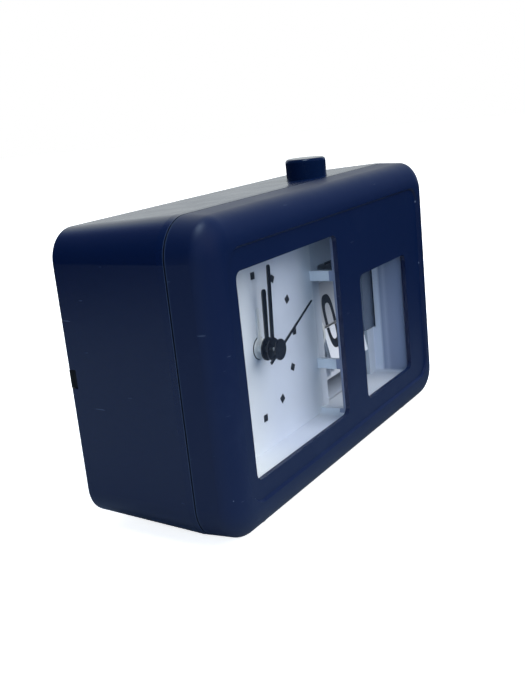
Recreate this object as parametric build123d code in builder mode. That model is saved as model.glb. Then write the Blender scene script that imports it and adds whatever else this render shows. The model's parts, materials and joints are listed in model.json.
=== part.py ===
"""Table clock with a quartz alarm movement and a flip date calendar.

Frame: millimetres, +Z up, front towards -Y, +X to the right seen from the front.
The origin is the middle of the clock's footprint on the table.
Depths are counted backwards from the front crest of the case.
"""

import os
from math import atan, copysign, cos, degrees, radians, sin, sqrt

from build123d import *

os.makedirs("parts", exist_ok=True)

# Case
case_width = 160.0
case_height = 96.5
case_depth = 57.0
foot_height = 0.8
seam_depth = 16.3
corner_radius = 12.2
nose_width = 9.0
nose_depth = 6.5
front_draft = 0.45
rear_draft = 2.5
case_wall = 2.2
panel_wall = 1.6
panel_recess = 0.8
panel_border = 10.0
panel_corner = 7.0
rear_edge_radius = 1.2
tab_length = 20.0
tab_thickness = 1.2
tab_reach = 2.5
tab_root = 1.6
tab_gap = 0.25

shell_bottom = foot_height
shell_top = shell_bottom + case_height
shell_z = shell_bottom + case_height / 2
side_x = case_width / 2

# Windows in the front panel: the dial window fills what the borders and the date window leave
window_border_left = 14.95
window_border_right = 24.7
window_border_bottom = 16.5989
window_border_top = 17.0989
mullion_width = 15.65
date_window_width = 41.4
date_window_height = 45.7024
window_borders = window_border_left + mullion_width + window_border_right
dial_window_width = case_width - window_borders - date_window_width
dial_window_height = case_height - window_border_bottom - window_border_top
dial_x = -side_x + window_border_left + dial_window_width / 2
dial_z = shell_bottom + window_border_bottom + dial_window_height / 2
date_x = side_x - window_border_right - date_window_width / 2
window_corner = 2.6
lens_thickness = 1.5
lens_margin = 4.6

# White tray behind the windows
tray_wall = 1.5
tray_lip = 3.0
tray_flange = 1.5
tray_flange_width = 2.4
tray_ear_width = 9.0
tray_ear_reach = 5.0
tray_corner = 4.0
divider_strip = 1.2
divider_sill = 2.0
leaf_opening_left = date_x - 20.0
leaf_opening_right = date_x + 17.6
leaf_opening_top = dial_z + 17.7
guard_opening_bottom = dial_z - 16.1
tray_boss_radius = 2.4
frame_boss_length = 2.5
movement_boss_length = 2.2
dial_plane_depth = 15.5
dial_plate = 1.6
bay_plane_depth = 17.5
divider_x = date_x - 29.9
rail_height = 3.6
rail_upper_z = dial_z + 14.2
rail_lower_z = dial_z - 17.6
arbor_z = dial_z + 0.2
mark_turn = -1.0
mark_radius = 23.6
mark_size = 2.3
mark_thickness = 0.12

# Hands: depth of each front face, widths at the hub and at the tip
alarm_hand_depth = 15.0
hour_hand_depth = 12.1
minute_hand_depth = 10.1
second_hand_depth = 7.3
hand_thickness = 0.5
hour_hand_length = 19.2
hour_hand_widths = (1.8, 2.3)
hour_hand_angle = 3.3
minute_hand_length = 27.0
minute_hand_widths = (1.7, 1.6)
minute_hand_angle = 4.3
second_hand_length = 25.7
second_hand_tail = 7.0
second_hand_widths = (0.9, 0.4)
second_hand_angle = 65.7
alarm_hand_length = 13.0
alarm_hand_widths = (1.8, 1.2)
alarm_hand_angle = 3.0
alarm_hub_radius = 3.4
alarm_hand_thickness = 0.35
second_disc_thickness = 0.6
second_boss_radius = 1.2
second_hub_height = 1.5
hub_height = 1.2
hour_hub_radius = 3.8
minute_hub_radius = 3.7
second_hub_radius = 3.45

# Arbors of the movement, from the inside out
running_clearance = 0.05
second_arbor_radius = 0.5
tube_wall = 0.5
bushing_radius = 3.7

# Movement
movement_size = 52.0
movement_corner = 5.0
movement_wall = 1.4
movement_front_depth = 17.3
movement_split_depth = 26.0
movement_back_depth = 34.5
movement_ear_radius = 3.0
movement_ear_inset = 8.0
movement_ear_x = movement_size / 2 + movement_ear_radius
movement_ear_z = movement_size / 2 - movement_ear_inset
movement_ear_thickness = 1.5
gear_module = 0.4
wheel_thickness = 1.0
wheel_gap = 0.5
cannon_teeth = 10
minute_work_teeth = 30
minute_work_pinion_teeth = 8
hour_teeth = 32
time_pinion_teeth = 12
alarm_teeth = 36
alarm_pinion_teeth = 12
minute_work_angle = 150.0
time_knob_angle = 110.0
alarm_knob_angle = 30.0
post_radius = 0.6
stem_radius = 1.2
fine_module = 0.25
second_teeth = 50
fifth_pinion_teeth = 10
fifth_teeth = 48
rotor_pinion_teeth = 8
fifth_angle = -70.0
rotor_angle = -20.0
rotor_radius = 3.0
rotor_length = 3.0
stator_thickness = 1.0
stator_width = 6.0
stator_inset = 11.0
stator_reach = movement_size / 2 - stator_inset
stator_drop = 10.0
coil_radius = 3.2
movement_board_x = movement_size / 2 - 14.0
movement_board_z = movement_size / 2 - 11.0
movement_board_width = 19.0
movement_board_height = 12.0
movement_board_gap = 1.2
crystal_radius = 1.0
crystal_length = 6.0

# Knobs on the back
knob_radius = 6.5
knob_height = 5.2
knob_flutes = 16
flute_radius = 0.7
dish_depth = 6.2
dish_floor_depth = case_depth - dish_depth
dish_wall = 1.4
knob_gap = 0.4
knob_recess = 0.6

# Flip calendar
leaf_count = 31
leaf_width = 30.2
leaf_length = 15.5
leaf_thickness = 0.3
leaf_pivot_radius = 9.0
leaf_crease_depth = 20.0
leaf_crease_z = dial_z - 7.0
upper_leaf_angle = 99.8
lower_leaf_angle = 282.0
upper_pivot_angle = 16.7
leaf_inset = 0.45
ear_width = 0.6
ear_length = 1.0
flap_pin_radius = 0.4
disc_radius = 10.0
disc_thickness = 1.5
disc_gap = 0.4
disc_slot_width = 0.9
gear_hub_length = 1.9
drum_end_play = 0.2
fit_clearance = 0.03
drum_core_radius = 4.0
drum_axle_radius = 1.5
date_gear_module = 0.6
date_gear_teeth = 32
date_gear_width = 2.4
date_pinion_teeth = 25
thumbwheel_rim_depth = case_depth - 0.45
thumbwheel_width = 6.0
thumbwheel_x = date_x + 29.9
thumbwheel_ribs = 30
thumb_axle_radius = 1.0

# Flip calendar frame
cheek_thickness = 1.5
left_cheek_x = date_x - 22.1
right_cheek_x = date_x + 24.4
outer_lug_x = date_x + 34.0
lug_gap = 0.9
frame_back_gap = 5.0
frame_back_depth = case_depth - frame_back_gap
frame_step = 7.0
frame_step_depth = frame_back_depth - frame_step
cheek_shoulder_height = 8.0
cheek_top_depth = 12.0
lug_height = 4.0
lug_reach = 4.5
frame_plate = 1.6
frame_bottom_z = dial_z - 36.8
frame_top_z = dial_z + 22.2
frame_flange_height = 10.0
frame_screw_left_x = date_x - 25.1
frame_screw_right_x = date_x + 28.9
frame_screw_low_z = dial_z - 24.8
frame_screw_high_z = dial_z + 17.2
guard_left_x = date_x + 16.0
guard_right_x = date_x + 24.9
guard_thickness = 0.8
guard_gap = 0.3

# Snooze button
button_x = date_x - 9.1
button_depth = 24.4
button_radius = 7.3
button_top_z = shell_top + 6.8
button_edge_radius = 1.2
button_clearance = 0.25
button_travel = 1.8
button_flange = 1.3
button_flange_top_z = shell_top - 3.4
button_wall = 2.9
button_roof = 1.8
button_stem_radius = 1.6
spring_radius = 4.9
spring_wire_radius = 0.35
spring_turns = 4.5
spring_seat_gap = 0.05
switch_size = 6.0
switch_height = 3.2
switch_plunger = 0.8
snooze_board_width = 21.0
snooze_board_depth = 11.5
snooze_board_shift = 0.9
snooze_board_z = shell_top - 18.9
board_thickness = 1.6

# Back cover, battery and alarm parts
cover_thickness = 2.4
cover_gap = 0.25
ledge_width = 1.5
notch_height = 6.0
notch_depth = 3.2
notch_z = shell_z + 0.55
battery_radius = 7.1
battery_length = 48.5
battery_tip_radius = 2.7
battery_tip = 1.6
battery_x = dial_x - 0.6
battery_z = shell_bottom + 16.0
battery_space = 1.0
battery_gap = 0.3
tub_wall = 1.2
contact_space = 3.0
contact_size = 9.0
contact_thickness = 0.4
door_thickness = 1.6
door_lip = 1.5
door_gap = 0.15
door_pin_radius = 0.6
door_pin_length = 1.2
buzzer_x = date_x + 1.4
buzzer_z = shell_top - 18.8
buzzer_radius = 10.0
buzzer_height = 3.6
grille_slots = 5
grille_slot_width = 1.4
grille_pitch = 3.0
grille_width = 16.0
thumb_slot_gap = 1.0
alarm_switch_x = 23.0 - side_x
alarm_switch_z = shell_top - 18.3
alarm_switch_travel = 4.0
slider_width = 4.0
slider_height = 3.2
slider_base = 1.2
slider_gap = 0.2
switch_can_width = 14.0
switch_can_height = 7.0
switch_can_depth = 4.0

# Fasteners and feet
screw_radius = 1.5
screw_head_radius = 2.7
screw_head = 1.8
screw_hole_clearance = 0.1
post_wall_radius = 3.2
case_post_inset_x = 7.0
case_post_inset_z = 8.7
case_screw_seat_depth = 22.0
case_tube_end_depth = 30.0
web_length = 5.9
web_thickness = 1.6
cover_post_inset_x = 13.5
cover_post_inset_z = 8.6
cover_post_depth = case_depth - 15.0
cover_screw_length = 9.0
cover_screw_sink = 1.5
case_screw_length = 15.0
small_screw_radius = 1.0
small_screw_head_radius = 1.9
small_screw_head = 1.2
tray_screw_length = 3.4
frame_screw_length = 4.4
movement_screw_length = 4.2
foot_radius = 5.0
foot_inset_x = 24.0
front_foot_depth = 11.0
rear_foot_depth = case_depth - 8.0

# Places worked out from the sizes above
front_y = -case_depth / 2
panel_back_depth = panel_recess + panel_wall
lens_back_depth = panel_back_depth + lens_thickness
flange_back_depth = lens_back_depth + tray_flange
rear_length = case_depth - seam_depth
rear_taper = degrees(atan(rear_draft / rear_length))
window_bottom = dial_z - dial_window_height / 2
date_window_z = window_bottom + date_window_height / 2
well_left = dial_x - dial_window_width / 2 - tray_lip
well_right = date_x + date_window_width / 2 + tray_lip
well_bottom = window_bottom - tray_lip
well_top = dial_z + dial_window_height / 2 + tray_lip
well_x = (well_left + well_right) / 2
well_z = (well_bottom + well_top) / 2
well_width = well_right - well_left
well_height = well_top - well_bottom
divider_right = divider_x + tray_wall
lens_width = well_width + 2 * (lens_margin - tray_lip)
lens_height = well_height + 2 * (lens_margin - tray_lip)
bay_back_depth = bay_plane_depth + tray_wall
cover_front_depth = case_depth - cover_thickness


def depth_y(depth):
    """Y of a depth behind the front crest."""
    return front_y + depth


def face_plane(depth, x=0.0, z=0.0):
    """Plane that faces the front, with local x to the right and local y up."""
    return Plane(origin=(x, depth_y(depth), z), x_dir=(1, 0, 0), z_dir=(0, -1, 0))


def side_plane(x, depth=0.0, z=0.0):
    """Plane that faces right, with local x backwards and local y up."""
    return Plane(origin=(x, depth_y(depth), z), x_dir=(0, 1, 0), z_dir=(1, 0, 0))


def rear_inset(depth):
    """How far the rear shell has drawn in at a depth."""
    return rear_draft * (depth - seam_depth) / rear_length


def polar_point(radius, angle):
    """Point at an angle counted from local x towards local y."""
    return (radius * cos(radians(angle)), radius * sin(radians(angle)))


def tooth_points(teeth, module_size, turn):
    """Outline of a spur wheel whose first tooth points at the angle turn."""
    pitch_radius = teeth * module_size / 2
    tip_radius = pitch_radius + 0.85 * module_size
    root_radius = pitch_radius - 1.15 * module_size
    pitch_angle = 360 / teeth
    points = []
    for tooth in range(teeth):
        middle = turn + tooth * pitch_angle
        points.append(polar_point(root_radius, middle - 0.29 * pitch_angle))
        points.append(polar_point(tip_radius, middle - 0.12 * pitch_angle))
        points.append(polar_point(tip_radius, middle + 0.12 * pitch_angle))
        points.append(polar_point(root_radius, middle + 0.29 * pitch_angle))
    return points


def tooth_outline(teeth, module_size, turn=0.0):
    """Adds a toothed wheel's face to the sketch in progress."""
    Polygon(*tooth_points(teeth, module_size, turn), align=None)


def mesh_turn(teeth, turn, direction, other_teeth):
    """Turn of a wheel that meshes with this one and lies at a direction from it."""
    return direction + 180 + (180 - (turn - direction) * teeth) / other_teeth


def save(part, name):
    """Labels a finished piece and writes it."""
    part.label = name
    export_step(part, f"parts/{name}.step")


# Front shell: a frame with a drafted side and a rounded nose, closed by the panel
def nose_ring(inset, front_depth, seam_side_depth):
    """Sweeps the side and nose profile round the case, drawn in by inset."""
    reach = nose_width + front_draft
    core_width = case_width - 2 * reach
    core_height = case_height - 2 * reach
    core_corner = corner_radius - reach
    outer = reach - inset
    arc_reach = outer - front_draft
    with BuildSketch(face_plane(seam_side_depth, 0, shell_z)) as core:
        RectangleRounded(core_width, core_height, core_corner)
    path = core.sketch.faces()[0].outer_wire()
    start = side_plane(0, nose_depth, shell_bottom + reach)
    with BuildPart() as ring:
        with BuildSketch(start):
            with BuildLine():
                EllipticalCenterArc(
                    (0, 0), nose_depth - front_depth, arc_reach, start_angle=180, arc_size=90
                )
                Line((0, -arc_reach), (seam_side_depth - nose_depth, -outer))
                Line((seam_side_depth - nose_depth, -outer), (seam_side_depth - nose_depth, 0))
                Line((seam_side_depth - nose_depth, 0), (front_depth - nose_depth, 0))
            make_face()
        sweep(path=path)
        with BuildSketch(face_plane(seam_side_depth, 0, shell_z)):
            RectangleRounded(core_width, core_height, core_corner)
        extrude(amount=seam_side_depth - front_depth)
    return ring.part


def window_outlines():
    """Adds both window openings to the sketch in progress."""
    with Locations((dial_x, dial_z)):
        RectangleRounded(dial_window_width, dial_window_height, window_corner)
    with Locations((date_x, date_window_z)):
        RectangleRounded(date_window_width, date_window_height, window_corner)


case_post_places = [
    (side * (side_x - case_post_inset_x), z)
    for side in (-1, 1)
    for z in (shell_bottom + case_post_inset_z, shell_top - case_post_inset_z)
]
tray_ear_places = [
    (x, z)
    for x in (dial_x - 12, date_x + 12)
    for z in (
        well_bottom - tray_flange_width - tray_ear_reach / 2,
        well_top + tray_flange_width + tray_ear_reach / 2,
    )
]

outer_front = nose_ring(0, 0, seam_depth)
inner_front = nose_ring(case_wall, panel_back_depth, seam_depth)

with BuildPart() as front_shell:
    add(outer_front)
    add(inner_front, mode=Mode.SUBTRACT)
    with BuildSketch(face_plane(0, 0, shell_z)):
        RectangleRounded(case_width - 2 * panel_border, case_height - 2 * panel_border, panel_corner)
    extrude(amount=-panel_recess, taper=40, mode=Mode.SUBTRACT)
    with BuildSketch(face_plane(panel_back_depth)):
        with Locations(*case_post_places):
            Circle(post_wall_radius - 0.2)
        with Locations(*tray_ear_places):
            Circle(post_wall_radius - 0.6)
    extrude(amount=-(lens_back_depth - panel_back_depth))
    with BuildSketch(face_plane(lens_back_depth)):
        with Locations(*case_post_places):
            Circle(post_wall_radius - 0.2)
    extrude(amount=-(seam_depth - lens_back_depth))
    with BuildSketch(face_plane(seam_depth)):
        with Locations(*case_post_places):
            Circle(screw_radius)
    extrude(amount=seam_depth - panel_back_depth - 2, mode=Mode.SUBTRACT)
    with BuildSketch(face_plane(lens_back_depth)):
        with Locations(*tray_ear_places):
            Circle(small_screw_radius)
    extrude(amount=lens_thickness + panel_wall / 2, mode=Mode.SUBTRACT)
    with BuildSketch(face_plane(0)):
        window_outlines()
    extrude(amount=-(panel_back_depth + 1), mode=Mode.SUBTRACT)
save(front_shell.part, "front_shell")

with BuildPart() as window_lens:
    with BuildSketch(face_plane(panel_back_depth, well_x, well_z)):
        RectangleRounded(lens_width, lens_height, window_corner)
    extrude(amount=-lens_thickness)
save(window_lens.part, "window_lens")

# Rear shell: a drafted tube with a ledge for the back cover
cover_post_places = [
    (side * (side_x - cover_post_inset_x), z)
    for side in (-1, 1)
    for z in (shell_bottom + cover_post_inset_z, shell_top - cover_post_inset_z)
]
tab_offset_x = side_x - case_wall - tab_gap - tab_thickness / 2
tab_offset_z = case_height / 2 - case_wall - tab_gap - tab_thickness / 2
flat_tabs = [
    (-45.0, shell_z + tab_offset_z),
    (50.0, shell_z + tab_offset_z),
    (-45.0, shell_z - tab_offset_z),
    (45.0, shell_z - tab_offset_z),
]
upright_tabs = [(-tab_offset_x, shell_z), (tab_offset_x, shell_z)]
seat_inset = case_wall + rear_inset(cover_front_depth)
cover_width = case_width - 2 * (seat_inset + 0.2 + cover_gap)
cover_height = case_height - 2 * (seat_inset + 0.2 + cover_gap)
cover_corner = corner_radius - case_wall - 1.6

with BuildPart() as rear_block:
    with BuildSketch(face_plane(seam_depth, 0, shell_z)):
        RectangleRounded(case_width, case_height, corner_radius)
    extrude(amount=-rear_length, taper=rear_taper)
    rear_rim = rear_block.faces().sort_by(Axis.Y)[-1].edges()
    fillet(rear_rim, rear_edge_radius)

with BuildPart() as rear_shell:
    add(rear_block.part)
    with BuildSketch(face_plane(seam_depth, 0, shell_z)):
        RectangleRounded(
            case_width - 2 * case_wall, case_height - 2 * case_wall, corner_radius - case_wall
        )
    extrude(amount=-(rear_length + 0.01), taper=rear_taper, mode=Mode.SUBTRACT)
    # Ledge that the back cover rests on
    with BuildSketch(face_plane(cover_front_depth, 0, shell_z)):
        RectangleRounded(
            case_width - 2 * seat_inset + 1, case_height - 2 * seat_inset + 1, corner_radius - 3
        )
        RectangleRounded(
            cover_width - 2 * ledge_width,
            cover_height - 2 * ledge_width,
            cover_corner - ledge_width,
            mode=Mode.SUBTRACT,
        )
    extrude(amount=ledge_width)
    # Screw tubes for the case screws and posts for the cover screws
    with BuildSketch(face_plane(seam_depth)):
        with Locations(*case_post_places):
            Circle(post_wall_radius)
        for post_x, post_z in case_post_places:
            web_x = copysign(web_length / 2, post_x)
            with Locations((post_x + web_x, post_z)):
                Rectangle(web_length, web_thickness)
    extrude(amount=-(case_tube_end_depth - seam_depth))
    with BuildSketch(face_plane(cover_post_depth)):
        with Locations(*cover_post_places):
            Circle(post_wall_radius)
        for post_x, post_z in cover_post_places:
            web_z = copysign(web_length / 2 + 0.6, post_z - shell_z)
            with Locations((post_x, post_z + web_z)):
                Rectangle(web_thickness, web_length - 1.2)
    extrude(amount=-(cover_front_depth - cover_post_depth))
    add(rear_block.part, mode=Mode.INTERSECT)
    # Tabs that centre the rear shell in the front shell
    for reach, grow in ((tab_reach, 0), (0, case_wall / 2 + tab_gap)):
        with BuildSketch(face_plane(seam_depth + tab_root)):
            for tab_x, tab_z in flat_tabs:
                with Locations((tab_x, tab_z + copysign(grow / 2, tab_z - shell_z))):
                    Rectangle(tab_length, tab_thickness + grow)
            for tab_x, tab_z in upright_tabs:
                with Locations((tab_x + copysign(grow / 2, tab_x), tab_z)):
                    Rectangle(tab_thickness + grow, tab_length)
        extrude(amount=reach + tab_root)
    # Ribs and ledges under the snooze button, which carry its board
    for side in (-1, 1):
        rib_x = button_x + side * 11.5
        with BuildSketch(face_plane(button_depth - 5.2, rib_x, 0)):
            with Locations((0, (snooze_board_z - 2 + shell_top - 1) / 2)):
                Rectangle(1.4, shell_top - 1 - snooze_board_z + 2)
            with Locations((-side * 1.2, snooze_board_z - 1)):
                Rectangle(2.4, 2)
        extrude(amount=-12)
    with BuildSketch(face_plane(cover_front_depth)):
        with Locations(*cover_post_places):
            Circle(screw_radius)
    extrude(amount=cover_screw_length, mode=Mode.SUBTRACT)
    with BuildSketch(face_plane(case_tube_end_depth)):
        with Locations(*case_post_places):
            Circle(screw_head_radius + 0.3)
    extrude(amount=case_tube_end_depth - case_screw_seat_depth, mode=Mode.SUBTRACT)
    with BuildSketch(face_plane(case_screw_seat_depth)):
        with Locations(*case_post_places):
            Circle(screw_radius + screw_hole_clearance)
    extrude(amount=case_screw_seat_depth - seam_depth + 1, mode=Mode.SUBTRACT)
    # Hole for the snooze button
    with BuildSketch(Plane.XY.offset(shell_top - 6)):
        with Locations((button_x, depth_y(button_depth))):
            Circle(button_radius + button_clearance)
    extrude(amount=8, mode=Mode.SUBTRACT)
    # Pry notch in the left side of the rear rim
    with BuildSketch(side_plane(-side_x, case_depth - notch_depth / 2, notch_z)):
        Rectangle(notch_depth, notch_height)
    extrude(amount=case_wall + rear_draft + 0.6, mode=Mode.SUBTRACT)
save(rear_shell.part, "rear_shell")

# Window tray: dial well, divider with two rails, and the bay of the flip calendar
frame_flange_depth = bay_back_depth + frame_boss_length
movement_ear_depth = dial_plane_depth + dial_plate + movement_boss_length
frame_screw_places = [
    (x, z)
    for x in (frame_screw_left_x, frame_screw_right_x)
    for z in (frame_screw_low_z, frame_screw_high_z)
]
movement_screw_places = [
    (dial_x + side * movement_ear_x, arbor_z + rise * movement_ear_z)
    for side in (-1, 1)
    for rise in (-1, 1)
]
bay_left = divider_right
bay_x = (bay_left + well_right) / 2
bay_width = well_right - bay_left
opening_x = (leaf_opening_left + leaf_opening_right) / 2
opening_width = leaf_opening_right - leaf_opening_left
opening_z = (well_bottom + leaf_opening_top) / 2
opening_height = leaf_opening_top - well_bottom
divider_spans = [
    (well_bottom + divider_sill, rail_lower_z),
    (rail_lower_z + rail_height, rail_upper_z),
    (rail_upper_z + rail_height, well_top - divider_sill),
]

with BuildPart() as window_tray:
    flange_grow = 2 * (tray_wall + tray_flange_width)
    with BuildSketch(face_plane(lens_back_depth, well_x, well_z)):
        RectangleRounded(well_width + flange_grow, well_height + flange_grow, tray_corner)
        with Locations(*[(x - well_x, z - well_z) for x, z in tray_ear_places]):
            RectangleRounded(tray_ear_width, tray_ear_reach + 2, 1.0)
    extrude(amount=-tray_flange)
    with BuildSketch(face_plane(lens_back_depth, well_x, well_z)):
        RectangleRounded(well_width + 2 * tray_wall, well_height + 2 * tray_wall, tray_corner)
    extrude(amount=-(dial_plane_depth + dial_plate - lens_back_depth))
    with BuildSketch(face_plane(dial_plane_depth, bay_x - tray_wall / 2 + tray_wall, well_z)):
        Rectangle(bay_width + tray_wall, well_height + 2 * tray_wall)
    extrude(amount=-(bay_back_depth - dial_plane_depth))
    with BuildSketch(face_plane(dial_plane_depth)):
        with Locations(*movement_screw_places):
            Circle(tray_boss_radius)
    extrude(amount=-(movement_ear_depth - dial_plane_depth))
    with BuildSketch(face_plane(bay_plane_depth)):
        for screw_x, screw_z in frame_screw_places:
            with Locations((screw_x, screw_z)):
                Circle(tray_boss_radius)
    extrude(amount=-(frame_flange_depth - bay_plane_depth))
    with BuildSketch(face_plane(bay_plane_depth)):
        for screw_z in (frame_screw_low_z, frame_screw_high_z):
            with Locations(((well_right + frame_screw_right_x + tray_boss_radius) / 2, screw_z)):
                Rectangle(
                    frame_screw_right_x + tray_boss_radius - well_right, 2 * tray_boss_radius
                )
    extrude(amount=-tray_wall)
    # Dial well and calendar bay
    with BuildSketch(face_plane(lens_back_depth)):
        with Locations(((well_left + divider_x) / 2, well_z)):
            RectangleRounded(divider_x - well_left, well_height, tray_corner - tray_wall)
    extrude(amount=-(dial_plane_depth - lens_back_depth), mode=Mode.SUBTRACT)
    with BuildSketch(face_plane(lens_back_depth)):
        with Locations((bay_x, well_z)):
            RectangleRounded(bay_width, well_height, tray_corner - tray_wall)
    extrude(amount=-(bay_plane_depth - lens_back_depth), mode=Mode.SUBTRACT)
    # Openings beside the rails
    strip_back_depth = flange_back_depth + divider_strip
    with BuildSketch(side_plane(divider_x - 1)):
        for span_low, span_high in divider_spans:
            with Locations(((strip_back_depth + dial_plane_depth) / 2, (span_low + span_high) / 2)):
                Rectangle(dial_plane_depth - strip_back_depth, span_high - span_low)
    extrude(amount=tray_wall + 2, mode=Mode.SUBTRACT)
    # Openings for the leaves and the guard of their gear, and the hole for the movement
    with BuildSketch(face_plane(bay_plane_depth - 1)):
        with Locations((opening_x, opening_z)):
            Rectangle(opening_width, opening_height)
        guard_opening_right = guard_right_x + guard_gap
        with Locations(
            (
                (opening_x + guard_opening_right) / 2,
                (guard_opening_bottom + leaf_opening_top) / 2,
            )
        ):
            Rectangle(guard_opening_right - opening_x, leaf_opening_top - guard_opening_bottom)
    extrude(amount=-(tray_wall + 2), mode=Mode.SUBTRACT)
    with BuildSketch(face_plane(dial_plane_depth)):
        with Locations((dial_x, arbor_z)):
            Circle(bushing_radius + running_clearance)
    extrude(amount=-dial_plate, mode=Mode.SUBTRACT)
    with BuildSketch(face_plane(movement_ear_depth)):
        with Locations(*movement_screw_places):
            Circle(small_screw_radius)
    extrude(amount=movement_boss_length + dial_plate / 2, mode=Mode.SUBTRACT)
    with BuildSketch(face_plane(frame_flange_depth)):
        with Locations(*frame_screw_places):
            Circle(small_screw_radius)
    extrude(amount=frame_boss_length + tray_wall / 2, mode=Mode.SUBTRACT)
    with BuildSketch(face_plane(flange_back_depth)):
        with Locations(*tray_ear_places):
            Circle(small_screw_radius + screw_hole_clearance)
    extrude(amount=tray_flange, mode=Mode.SUBTRACT)
save(window_tray.part, "window_tray")

with BuildPart() as hour_marks:
    with BuildSketch(face_plane(dial_plane_depth, dial_x, arbor_z)):
        with PolarLocations(mark_radius, 12, start_angle=mark_turn):
            Rectangle(mark_size, mark_size)
    extrude(amount=mark_thickness)
save(hour_marks.part, "hour_marks")

# Movement: arbor radii from the inside out, wheel depths and wheel centres
minute_bore = second_arbor_radius + running_clearance
minute_tube_radius = minute_bore + tube_wall
hour_bore = minute_tube_radius + running_clearance
hour_tube_radius = hour_bore + tube_wall
alarm_bore = hour_tube_radius + running_clearance
alarm_tube_radius = alarm_bore + tube_wall
bushing_bore = alarm_tube_radius + running_clearance
wheel_step = wheel_thickness + wheel_gap
alarm_wheel_depth = movement_front_depth + movement_wall + wheel_gap
hour_wheel_depth = alarm_wheel_depth + wheel_step
work_wheel_depth = hour_wheel_depth + wheel_step
second_wheel_depth = work_wheel_depth + wheel_step
fifth_wheel_depth = second_wheel_depth + wheel_step
rotor_depth = fifth_wheel_depth + wheel_step
movement_floor_depth = movement_back_depth - movement_wall
stator_depth = rotor_depth + (rotor_length - stator_thickness) / 2
alarm_hand_back_depth = alarm_hand_depth + alarm_hand_thickness
hour_hub_back_depth = hour_hand_depth + hub_height
minute_hub_back_depth = minute_hand_depth + hub_height
second_hub_back_depth = second_hand_depth + second_hub_height


def movement_point(distance, angle, start=(0.0, 0.0)):
    """Point at a distance and angle from another point of the movement."""
    step_x, step_z = polar_point(distance, angle)
    return (start[0] + step_x, start[1] + step_z)


def mesh_distance(teeth, other_teeth, module_size):
    """Centre distance of two wheels that mesh."""
    return module_size * (teeth + other_teeth) / 2


work_place = movement_point(
    mesh_distance(cannon_teeth, minute_work_teeth, gear_module), minute_work_angle
)
time_place = movement_point(
    mesh_distance(minute_work_teeth, time_pinion_teeth, gear_module), time_knob_angle, work_place
)
alarm_place = movement_point(
    mesh_distance(alarm_teeth, alarm_pinion_teeth, gear_module), alarm_knob_angle
)
fifth_place = movement_point(
    mesh_distance(second_teeth, fifth_pinion_teeth, fine_module), fifth_angle
)
rotor_place = movement_point(
    mesh_distance(fifth_teeth, rotor_pinion_teeth, fine_module), rotor_angle, fifth_place
)
coil_z = rotor_place[1] - stator_drop
stator_arm_places = [
    (rotor_place[0] + side * (stator_reach - stator_width / 2) - stator_width, coil_z)
    for side in (-1, 1)
]
board_place = (movement_board_x, movement_board_z)


def movement_plane(depth, place=(0.0, 0.0)):
    """Plane that faces the front at a point counted from the hands' arbor."""
    return face_plane(depth, dial_x + place[0], arbor_z + place[1])


def movement_cup(front_depth, back_depth, open_side):
    """One half of the movement case, open towards the front (-1) or the back (1)."""
    inner_size = movement_size - 2 * movement_wall
    shift = movement_wall if open_side > 0 else 0
    with BuildPart() as cup:
        with BuildSketch(movement_plane(front_depth)):
            RectangleRounded(movement_size, movement_size, movement_corner)
        extrude(amount=-(back_depth - front_depth))
        with BuildSketch(movement_plane(front_depth + shift)):
            RectangleRounded(inner_size, inner_size, movement_corner - movement_wall)
        extrude(amount=-(back_depth - front_depth - movement_wall), mode=Mode.SUBTRACT)
    return cup.part


with BuildPart() as movement_front:
    add(movement_cup(movement_front_depth, movement_split_depth, 1))
    with BuildSketch(movement_plane(movement_ear_depth)):
        for side in (-1, 1):
            for rise in (-1, 1):
                ear_root_x = side * (movement_ear_x + movement_size / 2 - movement_wall / 2) / 2
                with Locations((side * movement_ear_x, rise * movement_ear_z)):
                    Circle(movement_ear_radius)
                with Locations((ear_root_x, rise * movement_ear_z)):
                    Rectangle(
                        movement_ear_x - movement_size / 2 + movement_wall / 2,
                        2 * movement_ear_radius,
                    )
    extrude(amount=-movement_ear_thickness)
    with BuildSketch(movement_plane(movement_front_depth)):
        Circle(bushing_radius)
    extrude(amount=movement_front_depth - dial_plane_depth)
    with BuildSketch(movement_plane(movement_front_depth + movement_wall)):
        Circle(bushing_bore)
    extrude(amount=movement_wall + movement_front_depth - dial_plane_depth, mode=Mode.SUBTRACT)
    with BuildSketch(face_plane(movement_ear_depth)):
        with Locations(*movement_screw_places):
            Circle(small_screw_radius + screw_hole_clearance)
    extrude(amount=-movement_ear_thickness, mode=Mode.SUBTRACT)
save(movement_front.part, "movement_front")

with BuildPart() as movement_back:
    add(movement_cup(movement_split_depth, movement_back_depth, -1))
    # Fixed posts for the wheels, the stator and the board
    for place, front_depth, radius in (
        (work_place, hour_wheel_depth, post_radius),
        (fifth_place, second_wheel_depth, post_radius),
        (rotor_place, fifth_wheel_depth, post_radius),
        (stator_arm_places[0], stator_depth + stator_thickness, stator_width / 3),
        (stator_arm_places[1], stator_depth + stator_thickness, stator_width / 3),
        (board_place, movement_floor_depth - movement_board_gap, post_radius * 2),
    ):
        with BuildSketch(movement_plane(movement_floor_depth, place)):
            Circle(radius)
        extrude(amount=movement_floor_depth - front_depth)
    with BuildSketch(movement_plane(movement_back_depth)):
        with Locations(time_place, alarm_place):
            Circle(stem_radius + running_clearance)
        Circle(second_arbor_radius + running_clearance)
    extrude(amount=movement_wall, mode=Mode.SUBTRACT)
save(movement_back.part, "movement_back")


def hand_blade(widths, length, angle, tail=0.0):
    """Adds a tapered blade with a round tip, turned clockwise by angle from twelve."""
    root, tip = (width / 2 for width in widths)
    tip_z = length - tip
    with Locations(Location((0, 0, 0), (0, 0, -angle))):
        Polygon((-root, -tail), (root, -tail), (tip, tip_z), (-tip, tip_z), align=None)
        with Locations((0, tip_z)):
            Circle(tip)


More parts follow.
